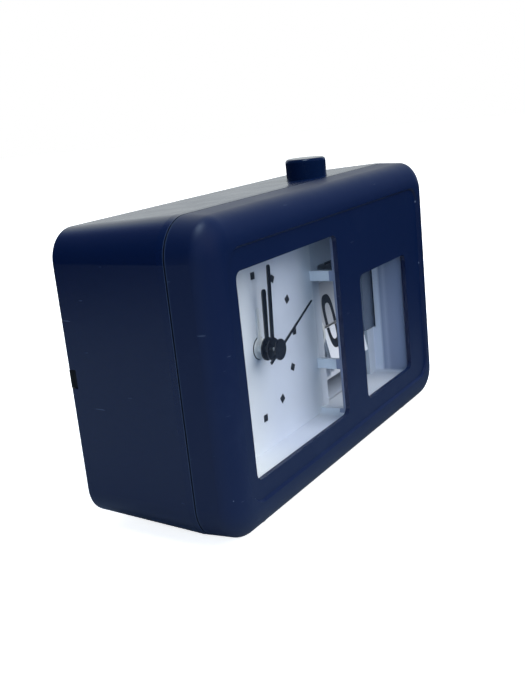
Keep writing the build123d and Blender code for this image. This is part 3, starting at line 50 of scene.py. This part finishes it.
# Node helpers
class Tree:
    """Short calls for the node tree of a material or of the world."""

    # Colour sockets of a Mix node
    FIRST, SECOND, RESULT = 6, 7, 2

    def __init__(self, owner, shader, output):
        owner.use_nodes = True
        self.tree = owner.node_tree
        self.tree.nodes.clear()
        self.shader = self.add(shader)
        self.link(self.shader.outputs[0], self.add(output).inputs["Surface"])

    def add(self, kind, **values):
        node = self.tree.nodes.new(kind)
        for key, value in values.items():
            setattr(node, key, value)
        return node

    def link(self, start, end):
        self.tree.links.new(start, end)

    def coords(self):
        return self.add("ShaderNodeTexCoord").outputs["Object"]

    def along(self, axis):
        """Place along one axis of the part, in metres."""
        node = self.add("ShaderNodeSeparateXYZ")
        self.link(self.coords(), node.inputs[0])
        return node.outputs[axis]

    def span(self, value, start, end, low=0.0, high=1.0):
        """Goes from low to high as the value goes from start to end, and holds there."""
        node = self.add("ShaderNodeMapRange")
        for name, limit in zip(("From Min", "From Max", "To Min", "To Max"), (start, end, low, high)):
            node.inputs[name].default_value = limit
        self.link(value, node.inputs["Value"])
        return node.outputs["Result"]

    def spread(self, value, low, high):
        """Goes from low to high as the value goes from 0 to 1."""
        return self.span(value, 0.0, 1.0, low, high)

    def within(self, value, low, high):
        """1 between two values and 0 elsewhere."""
        above = self.math("GREATER_THAN", value, low)
        below = self.math("LESS_THAN", value, high)
        return self.math("MULTIPLY", above, below)

    def noise(self, scale, detail=3.0, roughness=0.5, stretch=None):
        """Noise in metres of the object, stretched along axes where asked."""
        node = self.add("ShaderNodeTexNoise")
        node.inputs["Scale"].default_value = scale
        node.inputs["Detail"].default_value = detail
        node.inputs["Roughness"].default_value = roughness
        start = self.coords()
        if stretch:
            mapping = self.add("ShaderNodeMapping")
            mapping.inputs["Scale"].default_value = stretch
            self.link(start, mapping.inputs["Vector"])
            start = mapping.outputs["Vector"]
        self.link(start, node.inputs["Vector"])
        return node.outputs["Fac"]

    def ramp(self, value, stops):
        """Grey or coloured stops; a new ramp already has two."""
        node = self.add("ShaderNodeValToRGB")
        band = node.color_ramp
        for index, (place, shade) in enumerate(stops):
            point = band.elements[index] if index < 2 else band.elements.new(place)
            point.position = place
            point.color = (shade, shade, shade, 1) if isinstance(shade, float) else (*shade, 1)
        self.link(value, node.inputs["Fac"])
        return node.outputs["Color"]

    def mix(self, factor, first, second):
        """The first colour where the factor is 0, the second where it is 1."""
        node = self.add("ShaderNodeMix", data_type="RGBA")
        for index, value in ((self.FIRST, first), (self.SECOND, second)):
            if isinstance(value, tuple):
                node.inputs[index].default_value = (*value, 1)
            else:
                self.link(value, node.inputs[index])
        self.link(factor, node.inputs["Factor"])
        return node.outputs[self.RESULT]

    def math(self, operation, first, second=0.0):
        node = self.add("ShaderNodeMath", operation=operation)
        for socket, value in zip(node.inputs, (first, second)):
            if isinstance(value, float):
                socket.default_value = value
            else:
                self.link(value, socket)
        return node.outputs[0]

    def specks(self, scale, size, rarity):
        """Scattered dots: 1 on a speck, 0 elsewhere."""
        cells = self.add("ShaderNodeTexVoronoi")
        cells.inputs["Scale"].default_value = scale
        self.link(self.coords(), cells.inputs["Vector"])
        near = self.math("LESS_THAN", cells.outputs["Distance"], size)
        pick = self.add("ShaderNodeSeparateColor")
        self.link(cells.outputs["Color"], pick.inputs[0])
        rare = self.math("LESS_THAN", pick.outputs[0], rarity)
        return self.math("MULTIPLY", near, rare)

    def bump(self, height, strength, distance):
        node = self.add("ShaderNodeBump")
        node.inputs["Strength"].default_value = strength
        node.inputs["Distance"].default_value = distance
        self.link(height, node.inputs["Height"])
        self.link(node.outputs["Normal"], self.shader.inputs["Normal"])

    def paint(self, color, roughness):
        """Feeds the shader's colour and roughness."""
        self.link(color, self.shader.inputs["Base Color"])
        self.link(roughness, self.shader.inputs["Roughness"])


def material(name, roughness, metallic=0.0):
    """New material with its plain values on the shader."""
    made = bpy.data.materials.new(name)
    tree = Tree(made, "ShaderNodeBsdfPrincipled", "ShaderNodeOutputMaterial")
    tree.shader.inputs["Roughness"].default_value = roughness
    tree.shader.inputs["Metallic"].default_value = metallic
    return made, tree


# Plastics: scale of the slow drift in colour, and depth of the mould's grain in metres
DRIFT = 35.0
GRAIN = 0.00002


def drifting(tree, low, high, drift=DRIFT):
    """Colour that drifts slowly between two others."""
    return tree.mix(tree.noise(drift, detail=4.0), low, high)


def mould_surface(tree, base, rough, grain=GRAIN, drift=DRIFT):
    """Colour, uneven gloss and fine grain of a moulded surface."""
    tree.paint(base, tree.spread(tree.noise(drift * 3, detail=5.0), *rough))
    tree.bump(tree.noise(scale=2600.0, detail=2.0), strength=0.25, distance=grain)


def moulded(name, low, high, rough, grain=GRAIN, drift=DRIFT):
    """Plain moulded plastic between two colours, with the range of its roughness."""
    made, tree = material(name, sum(rough) / 2)
    mould_surface(tree, drifting(tree, low, high, drift), rough, grain, drift)
    return made


def navy_plastic():
    """Satin navy, duller in front of the seam, with rubbed patches, dust, fine scratches, a dark seam line and a
    painted highlight on its rims.
    """
    seam_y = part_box("rear_shell")[0].y
    seam_half, highlight_half = 0.00025, 0.00045
    made, tree = material("navy_moulding", 0.4)
    base = drifting(tree, (0.0011, 0.0064, 0.034), (0.0017, 0.0080, 0.039), drift=22.0)
    patches = tree.noise(scale=60.0, detail=5.0, roughness=0.65)
    base = tree.mix(tree.ramp(patches, [(0.60, 0.0), (0.80, 0.07)]), base, (0.05, 0.08, 0.15))
    streaks = tree.noise(scale=140.0, detail=1.0, roughness=0.4, stretch=(1.0, 1.0, 9.0))
    scratches = tree.ramp(streaks, [(0.775, 0.0), (0.79, 0.35)])
    marks = tree.math("MAXIMUM", tree.specks(260.0, size=0.09, rarity=0.012), scratches)
    base = tree.mix(marks, base, (0.11, 0.14, 0.21))
    # Seam: a painted highlight as a lighter band on the rims beside it, and a dark line in the seam itself
    from_seam = tree.math("ABSOLUTE", tree.math("SUBTRACT", tree.along(Y), seam_y))
    rim_highlight = tree.math("LESS_THAN", from_seam, highlight_half)
    in_seam = tree.math("LESS_THAN", from_seam, seam_half)
    base = tree.mix(rim_highlight, base, (0.030, 0.048, 0.095))
    base = tree.mix(in_seam, base, (0.0003, 0.0008, 0.004))
    uneven = tree.noise(scale=90.0, detail=6.0, roughness=0.6)
    in_front = tree.math("LESS_THAN", tree.along(Y), seam_y)
    gloss = tree.mix(in_front, tree.spread(uneven, 0.18, 0.29), tree.spread(uneven, 0.38, 0.50))
    tree.paint(base, tree.math("MAXIMUM", gloss, in_seam))
    tree.bump(tree.noise(scale=3200.0, detail=2.0), strength=0.35, distance=GRAIN)
    return made


def tray_plastic():
    """White moulding with painted shade: bluish over the right of the dial, greyer in the bay, in smoky bands of
    shade and reflection on the bay's right wall, and dark beside the first window.
    """
    # Places on the tray, in metres, that bound the painted shade
    dial_left, dial_right = -0.050, 0.012
    bay_left = 0.0060
    wall_start, wall_end = 0.0572, 0.0580
    wall_back, wall_front = -0.0110, -0.0245
    divider_left, divider_right, divider_back = 0.0040, 0.0052, -0.0205
    dial_shade_stops = [(0.0, 0.0), (0.40, 0.55), (0.70, 0.55), (1.0, 0.05)]
    # Painted shade and painted reflections on the bay's right wall, from its back to its front
    wall = [
        (0.0, (0.66, 0.70, 0.80)),
        (0.22, (0.62, 0.67, 0.78)),
        (0.30, (0.26, 0.30, 0.42)),
        (0.42, (0.34, 0.38, 0.51)),
        (0.52, (0.24, 0.28, 0.40)),
        (0.80, (0.21, 0.25, 0.37)),
        (1.0, (0.16, 0.20, 0.32)),
    ]
    made, tree = material("tray_moulding", 0.47)
    x, y = tree.along(X), tree.along(Y)
    base = drifting(tree, (0.73, 0.77, 0.79), (0.77, 0.80, 0.82))
    # Painted shade: a bluish shade over the middle and right of the dial
    base = tree.mix(tree.ramp(tree.span(x, dial_left, dial_right), dial_shade_stops), base, (0.42, 0.48, 0.64))
    # Painted shade: the tray is greyer inside the calendar bay
    base = tree.mix(tree.math("GREATER_THAN", x, bay_left), base, (0.54, 0.59, 0.67))
    # Painted shade in smoky bands, with lighter painted reflections, on the bay's right wall
    wall_shade = tree.ramp(tree.span(y, wall_back, wall_front), wall)
    base = tree.mix(tree.span(x, wall_start, wall_end), base, wall_shade)
    # Painted shade: the tray's face beside the first window darkened towards the front
    divider_shade = tree.within(x, divider_left, divider_right)
    divider_shade = tree.math("MULTIPLY", divider_shade, tree.math("LESS_THAN", y, divider_back))
    mould_surface(tree, tree.mix(divider_shade, base, (0.24, 0.28, 0.40)), (0.40, 0.55))
    return made


def frame_plastic():
    """Blue-grey moulding, paler on the low plate that the light reaches."""
    plate_top, plate_base = 0.022, 0.016
    made, tree = material("frame_moulding", 0.42)
    base = drifting(tree, (0.10, 0.13, 0.19), (0.12, 0.15, 0.21))
    low = tree.span(tree.along(Z), plate_top, plate_base)
    mould_surface(tree, tree.mix(low, base, (0.50, 0.56, 0.66)), (0.35, 0.50))
    return made


def clear_plastic():
    """Thin clear pane with a faint blue film."""
    made, tree = material("clear_pane", 0.06)
    tree.shader.inputs["Base Color"].default_value = (0.10, 0.14, 0.22, 1)
    tree.shader.inputs["Alpha"].default_value = 0.035
    gloss = tree.spread(tree.noise(scale=80.0, detail=4.0), 0.04, 0.10)
    tree.link(gloss, tree.shader.inputs["Roughness"])
    return made


# Metals
def brushed(name, color, roughness, stretch=(1.0, 1.0, 30.0)):
    """Plain worked metal with fine drawn lines."""
    made, tree = material(name, roughness, metallic=1.0)
    lines = tree.noise(scale=1800.0, roughness=0.6, stretch=stretch)
    darker = tuple(part * 0.8 for part in color)
    gloss = tree.spread(lines, roughness * 0.8, roughness * 1.25)
    tree.paint(tree.mix(lines, darker, color), gloss)
    tree.bump(lines, strength=0.2, distance=0.00001)
    return made


def winding():
    """Copper wire turns side by side along x."""
    made, tree = material("copper_winding", 0.35, metallic=1.0)
    wave = tree.add("ShaderNodeTexWave", bands_direction="X")
    wave.inputs["Scale"].default_value = 900.0
    tree.link(tree.coords(), wave.inputs["Vector"])
    turns = wave.outputs["Fac"]
    copper = tree.mix(turns, (0.25, 0.08, 0.03), (0.72, 0.30, 0.14))
    tree.link(copper, tree.shader.inputs["Base Color"])
    tree.bump(turns, strength=0.6, distance=0.00006)
    return made


# Materials of the record's slots, and of single nodes that need their own
CARD_GRAIN = 0.000008
CARD_DRIFT = 60.0
MATERIALS = {
    "navy_plastic": navy_plastic(),
    "button_plastic": moulded(
        "button_gloss", (0.0016, 0.0070, 0.030), (0.0022, 0.0085, 0.035), (0.12, 0.22), grain=0.00001
    ),
    "clear_plastic": clear_plastic(),
    "white_plastic": moulded(
        "white_moulding", (0.69, 0.76, 0.85), (0.74, 0.80, 0.88), (0.40, 0.55)
    ),
    "grey_plastic": moulded(
        "blue_grey_moulding", (0.17, 0.21, 0.28), (0.20, 0.24, 0.31), (0.35, 0.5)
    ),
    "natural_plastic": moulded(
        "natural_moulding", (0.70, 0.73, 0.74), (0.76, 0.78, 0.78), (0.35, 0.5)
    ),
    "movement_plastic": moulded(
        "movement_moulding", (0.012, 0.012, 0.013), (0.018, 0.018, 0.020), (0.4, 0.55)
    ),
    "hand_paint": moulded(
        "black_lacquer", (0.002, 0.003, 0.007), (0.003, 0.004, 0.009), (0.12, 0.2), grain=0.000004
    ),
    "mark_ink": moulded(
        "black_ink", (0.008, 0.009, 0.012), (0.013, 0.014, 0.018), (0.45, 0.6), grain=0.000004
    ),
    "card_plastic": moulded(
        "card_sheet", (0.46, 0.49, 0.54), (0.52, 0.54, 0.58), (0.42, 0.6), CARD_GRAIN, CARD_DRIFT
    ),
    "dark_plastic": moulded(
        "dark_moulding", (0.030, 0.036, 0.050), (0.042, 0.050, 0.066), (0.38, 0.52)
    ),
    "steel": brushed("drawn_steel", (0.60, 0.60, 0.61), 0.32),
    "magnet": brushed("ground_magnet", (0.12, 0.12, 0.13), 0.45, stretch=(1.0, 30.0, 1.0)),
    "copper": winding(),
    "board": moulded("board_lacquer", (0.010, 0.07, 0.03), (0.016, 0.10, 0.045), (0.2, 0.3)),
    "battery_skin": moulded(
        "cell_sleeve", (0.035, 0.036, 0.040), (0.050, 0.051, 0.055), (0.25, 0.35), grain=0.00001
    ),
    "rubber": moulded("foot_rubber", (0.004, 0.004, 0.005), (0.008, 0.008, 0.009), (0.7, 0.85)),
}
OWN_MATERIALS = {
    "window_tray": tray_plastic(),
    "calendar_frame": frame_plastic(),
    # Leaves: a paler copy of the card sheet, as painted light on the stack that lies in shade
    "date_leaves": moulded(
        "lit_leaf_sheet", (0.80, 0.84, 0.92), (0.86, 0.89, 0.95), (0.42, 0.6), CARD_GRAIN, CARD_DRIFT
    ),
}
for part in frame["record"]["subparts"]:
    node = frame["nodes"][part["node"]]
    finish = OWN_MATERIALS.get(part["node"], MATERIALS[part["material_slot"]])
    for slot in node.material_slots:
        slot.material = finish
    if not node.material_slots:
        node.data.materials.append(finish)


def mesh_piece(name, mesh, finish):
    """Object from a built mesh, with one material."""
    data = bpy.data.meshes.new(name)
    mesh.to_mesh(data)
    mesh.free()
    data.materials.append(finish)
    piece = bpy.data.objects.new(name, data)
    bpy.context.collection.objects.link(piece)
    return piece


def joint_place(name):
    """A joint's place in millimetres."""
    joint = next(joint for joint in frame["joints"] if joint["name"] == name)
    return Vector(joint["pos_m"]) * PER_METRE


# Flip cards: a leaf is the angle of its pivot on the drum and its own lean, in degrees
DRUM_AXIS = joint_place("calendar_turn")
PIVOT_RADIUS = (joint_place("flap_turn") - DRUM_AXIS).length
LEAF_COUNT = 31
LEAF_THICKNESS = 0.3
LEAF_ROOT = -0.45
FLAP_PIVOT = 16.7
UPPER_LEAN, LOWER_LEAN = 99.8, 282.0
PIVOT_STEP = 360.0 / LEAF_COUNT
LEAN_STEP = (LOWER_LEAN - UPPER_LEAN) / (LEAF_COUNT - 1)
FLAP_LEAF = (FLAP_PIVOT, UPPER_LEAN)
NEXT_LEAF = (FLAP_PIVOT + PIVOT_STEP, UPPER_LEAN + LEAN_STEP)
LAST_LEAF = (FLAP_PIVOT - PIVOT_STEP, LOWER_LEAN - 360.0)
FRONT_FACE, BACK_FACE = 1, -1

# Figures: places across the part, and heights over the crease between two leaves
INK_LIFT = 0.015
CREASE_GAP = 0.05
SIDE_STROKE = 2.1
END_STROKE = 3.3
SQUARENESS = 3.0
RING_STEPS = 40
FIRST_LEFT, FIRST_RIGHT = 22.1, 30.9
SECOND_LEFT, SECOND_RIGHT = 33.7, 42.4
DIGIT_BOTTOM, DIGIT_TOP = -8.5, 11.1
BOWL_TOP = 3.6
TAIL_START, TAIL_END = 35, 330
BAR_BOTTOM = 7.8
STEM_SHOULDER = 39.7
STEM_LEFT, STEM_RIGHT = 36.4, 39.3


def leaf_frame(pivot_angle, lean_angle):
    """Pivot point, direction along the leaf and outward normal of its front face."""
    turn = radians(pivot_angle)
    lean = radians(lean_angle)
    pivot = DRUM_AXIS + PIVOT_RADIUS * Vector((0, -cos(turn), sin(turn)))
    along = Vector((0, -cos(lean), sin(lean)))
    normal = Vector((0, -sin(lean), -cos(lean)))
    if normal.y > 0:
        normal.negate()
    return pivot, along, normal


def card_point(x, height, leaf, side):
    """Point on one face of a leaf at a height over or under the crease, in metres."""
    pivot, along, normal = leaf_frame(*leaf)
    point = pivot + along * (LEAF_ROOT + abs(height))
    point += normal * side * (LEAF_THICKNESS / 2 + INK_LIFT)
    point.x = x
    return point / PER_METRE


def clip_corners(corners, upper):
    """Cuts a polygon at the crease and keeps the side of one leaf."""
    limit = CREASE_GAP if upper else -CREASE_GAP
    kept = []
    for index, corner in enumerate(corners):
        following = corners[(index + 1) % len(corners)]
        inside = corner[1] >= limit if upper else corner[1] <= limit
        next_inside = following[1] >= limit if upper else following[1] <= limit
        if inside:
            kept.append(corner)
        if inside != next_inside:
            share = (limit - corner[1]) / (following[1] - corner[1])
            kept.append((corner[0] + share * (following[0] - corner[0]), limit))
    return kept


def card_strokes(name, faces, upper, leaf, side):
    """Upper or lower half of a number, printed on one face of a leaf."""
    mesh = bmesh.new()
    for corners in faces:
        corners = clip_corners(corners, upper)
        if len(corners) > 2:
            mesh.faces.new([mesh.verts.new(card_point(x, z, leaf, side)) for x, z in corners])
    bmesh.ops.remove_doubles(mesh, verts=mesh.verts, dist=1e-6)
    return mesh_piece(name, mesh, MATERIALS["mark_ink"])


def ring_point(middle, half, turn):
    """Point on a squarish oval."""
    return tuple(
        centre + reach * copysign(abs(share) ** (2 / SQUARENESS), share)
        for centre, reach, share in zip(middle, half, (cos(turn), sin(turn)))
    )


def digit_ring(left, right, bottom, top, start=0, end=360):
    """Quads of an oval stroke, thin at the sides and thick at top and bottom."""
    middle = ((left + right) / 2, (bottom + top) / 2)
    outer = ((right - left) / 2, (top - bottom) / 2)
    inner = (outer[0] - SIDE_STROKE, outer[1] - END_STROKE)
    turns = [radians(start + (end - start) * step / RING_STEPS) for step in range(RING_STEPS + 1)]
    return [
        [
            ring_point(middle, outer, first),
            ring_point(middle, outer, second),
            ring_point(middle, inner, second),
            ring_point(middle, inner, first),
        ]
        for first, second in zip(turns, turns[1:])
    ]


ZERO = digit_ring(FIRST_LEFT, FIRST_RIGHT, DIGIT_BOTTOM, DIGIT_TOP)
SIX_TAIL = digit_ring(SECOND_LEFT, SECOND_RIGHT, DIGIT_BOTTOM, DIGIT_TOP, TAIL_START, TAIL_END)
SIX = SIX_TAIL + digit_ring(SECOND_LEFT, SECOND_RIGHT, DIGIT_BOTTOM, BOWL_TOP)
SEVEN = [
    [
        (SECOND_LEFT, BAR_BOTTOM),
        (SECOND_RIGHT, BAR_BOTTOM),
        (SECOND_RIGHT, DIGIT_TOP),
        (SECOND_LEFT, DIGIT_TOP),
    ],
    [
        (STEM_LEFT, DIGIT_BOTTOM),
        (STEM_RIGHT, DIGIT_BOTTOM),
        (SECOND_RIGHT, BAR_BOTTOM),
        (STEM_SHOULDER, BAR_BOTTOM),
    ],
]
for name, faces, upper, leaf, side, body in (
    ("card_number_upper", ZERO + SIX, True, FLAP_LEAF, FRONT_FACE, "calendar_flap"),
    ("card_number_lower", ZERO + SIX, False, LAST_LEAF, FRONT_FACE, "calendar_drum"),
    ("next_number_upper", ZERO + SEVEN, True, NEXT_LEAF, FRONT_FACE, "calendar_drum"),
    ("next_number_lower", ZERO + SEVEN, False, FLAP_LEAF, BACK_FACE, "calendar_flap"),
):
    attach(card_strokes(name, faces, upper, leaf, side), body)


# Black insert in the notch of the rear rim, left side, in millimetres
REAR_LOW, REAR_HIGH = (corner * PER_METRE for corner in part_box("rear_shell"))
NOTCH_DEPTH, NOTCH_HEIGHT = 3.2, 6.0
NOTCH_RISE = 0.55
NOTCH_Z = (REAR_LOW.z + REAR_HIGH.z) / 2 + NOTCH_RISE
INSERT_RECESS = 2.7
INSERT_LEFT = REAR_LOW.x + INSERT_RECESS
INSERT_THICKNESS = 2.1
DEPTH_GAP, HEIGHT_GAP = 0.2, 0.15
EDGE_ROUNDING = 0.15
GROOVE = 0.4


def notch_insert():
    """Rounded block with a finger groove along its outer face."""
    right = INSERT_LEFT + INSERT_THICKNESS
    front = REAR_HIGH.y - NOTCH_DEPTH + DEPTH_GAP
    back = REAR_HIGH.y - DEPTH_GAP
    middle = (front + back) / 2
    bottom = NOTCH_Z - NOTCH_HEIGHT / 2 + HEIGHT_GAP
    height = NOTCH_HEIGHT - 2 * HEIGHT_GAP
    profile = [
        (INSERT_LEFT, front),
        (INSERT_LEFT, middle - GROOVE),
        (INSERT_LEFT + GROOVE, middle),
        (INSERT_LEFT, middle + GROOVE),
        (INSERT_LEFT, back),
        (right, back),
        (right, front),
    ]
    mesh = bmesh.new()
    face = mesh.faces.new([mesh.verts.new((x, y, bottom)) for x, y in profile])
    grown = bmesh.ops.extrude_face_region(mesh, geom=[face])["geom"]
    moved = [item for item in grown if isinstance(item, bmesh.types.BMVert)]
    bmesh.ops.translate(mesh, verts=moved, vec=(0, 0, height))
    bmesh.ops.recalc_face_normals(mesh, faces=mesh.faces)
    edges = list(mesh.edges)
    bmesh.ops.bevel(mesh, geom=edges, offset=EDGE_ROUNDING, segments=3, profile=0.5, affect="EDGES")
    bmesh.ops.scale(mesh, verts=mesh.verts, vec=Vector((1, 1, 1)) / PER_METRE)
    return mesh_piece("notch_insert", mesh, MATERIALS["rubber"])


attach(notch_insert(), "case")


# Floor: in reflections it carries a painted pool of light, brightest around one place, and further off it is dark
FLOOR_SIZE = 6.0
GLEAM_PLACE = (-0.2, 0.08, 0)
GLEAM_NEAR, GLEAM_FAR = 0.16, 0.50
WHITE_NEAR, WHITE_FAR = 0.4, 1.2


def floor_material():
    """Pale floor: white to the camera with the soft shadow, dimmer in reflections but for a painted pool of light.
    """
    made, tree = material("pale_floor", 0.9)
    seen = tree.add("ShaderNodeLightPath").outputs["Is Camera Ray"]
    place = tree.add("ShaderNodeVectorMath", operation="DISTANCE")
    place.inputs[1].default_value = GLEAM_PLACE
    tree.link(tree.coords(), place.inputs[0])
    distance = place.outputs["Value"]
    # Painted pool of light in the floor's colour, seen in reflections and bounce light
    painted_gleam = tree.span(distance, GLEAM_NEAR, GLEAM_FAR, low=0.30, high=0.012)
    around = tree.mix(painted_gleam, (0.0, 0.0, 0.0), (0.80, 1.0, 1.25))
    base = tree.mix(seen, around, (0.9, 0.9, 0.9))
    white = tree.span(distance, WHITE_NEAR, WHITE_FAR, low=0.8, high=1.0)
    tree.link(base, tree.shader.inputs["Base Color"])
    tree.link(tree.math("MULTIPLY", seen, white), tree.shader.inputs["Emission Strength"])
    tree.shader.inputs["Emission Color"].default_value = (1, 1, 1, 1)
    tree.shader.inputs["Specular IOR Level"].default_value = 0.0
    return made


floor_mesh = bmesh.new()
bmesh.ops.create_grid(floor_mesh, x_segments=1, y_segments=1, size=FLOOR_SIZE / 2)
mesh_piece("floor", floor_mesh, floor_material())

# Lights: name, place, size of the square, power, colour, and whether gloss mirrors it
COOL = (0.62, 0.80, 1.0)
NEUTRAL = (1.0, 1.0, 1.0)
LIGHT_TARGET = Vector((0, 0, 0.05))
LIGHTS = [
    ("overhead_softbox", (-0.10, -0.08, 1.1), 0.3, 3.0, COOL, True),
    ("front_softbox", (0.30, -1.0, 1.0), 1.8, 34.0, NEUTRAL, False),
    ("back_fill", (0.30, 1.10, 0.55), 1.4, 9.0, NEUTRAL, False),
    ("left_fill", (-1.1, -0.6, 0.3), 1.2, 13.0, COOL, False),
]


def area_light(name, place, size, power, color, mirrored):
    light = bpy.data.lights.new(name, "AREA")
    light.shape = "SQUARE"
    light.size = size
    light.energy = power
    light.color = color
    lamp = bpy.data.objects.new(name, light)
    lamp.location = place
    lamp.rotation_euler = (LIGHT_TARGET - lamp.location).to_track_quat("-Z", "Y").to_euler()
    lamp.visible_glossy = mirrored
    bpy.context.collection.objects.link(lamp)


for values in LIGHTS:
    area_light(*values)

# World: the way to its bright side, and its tones from the dim side to the bright one
BRIGHT_SIDE = (0.82, 0.51, 0.25)
SKY = [
    (0.55, (0.020, 0.033, 0.055)),
    (0.80, (0.07, 0.10, 0.20)),
    (0.88, (0.24, 0.31, 0.52)),
    (0.92, (0.52, 0.64, 0.74)),
    (0.97, (0.76, 0.81, 0.81)),
]


def studio_world():
    """White to the camera, and a dark studio with one bright side in reflections and fill."""
    world = bpy.data.worlds.new("studio")
    tree = Tree(world, "ShaderNodeMixShader", "ShaderNodeOutputWorld")
    facing = tree.add("ShaderNodeVectorMath", operation="DOT_PRODUCT")
    facing.inputs[1].default_value = BRIGHT_SIDE
    tree.link(tree.add("ShaderNodeTexCoord").outputs["Generated"], facing.inputs[0])
    around = tree.add("ShaderNodeBackground")
    tone = tree.ramp(tree.span(facing.outputs["Value"], -1.0, 1.0), SKY)
    tree.link(tone, around.inputs["Color"])
    shown = tree.add("ShaderNodeBackground")
    shown.inputs["Color"].default_value = (1, 1, 1, 1)
    seen = tree.add("ShaderNodeLightPath").outputs["Is Camera Ray"]
    for socket, source in zip(tree.shader.inputs, (seen, around.outputs[0], shown.outputs[0])):
        tree.link(source, socket)
    return world


bpy.context.scene.world = studio_world()

# Camera of the photograph: its place, its turn about x, y and z in degrees, and its pixels
CAMERA_PLACE = (-0.28276, -0.16952, 0.12452)
CAMERA_TURN = (75.3636, 5.7783, -59.5825)
IMAGE_WIDTH, IMAGE_HEIGHT = 525, 700
FOCAL_PIXELS = 946.17
CENTRE_COLUMN, CENTRE_ROW = 262.517, 350.805
SENSOR_HEIGHT = 36.0


def photo_camera():
    """Camera with the photograph's view and frame."""
    data = bpy.data.cameras.new("photo_camera")
    data.sensor_fit = "VERTICAL"
    data.sensor_height = SENSOR_HEIGHT
    data.lens = FOCAL_PIXELS * SENSOR_HEIGHT / IMAGE_HEIGHT
    data.clip_start = 0.01
    data.shift_x = (IMAGE_WIDTH / 2 - CENTRE_COLUMN) / IMAGE_HEIGHT
    data.shift_y = (CENTRE_ROW - IMAGE_HEIGHT / 2) / IMAGE_HEIGHT
    camera = bpy.data.objects.new("photo_camera", data)
    camera.location = CAMERA_PLACE
    camera.rotation_euler = Euler(radians(angle) for angle in CAMERA_TURN)
    bpy.context.collection.objects.link(camera)
    return camera


bpy.context.scene.camera = photo_camera()
bpy.context.scene.view_settings.view_transform = "Standard"
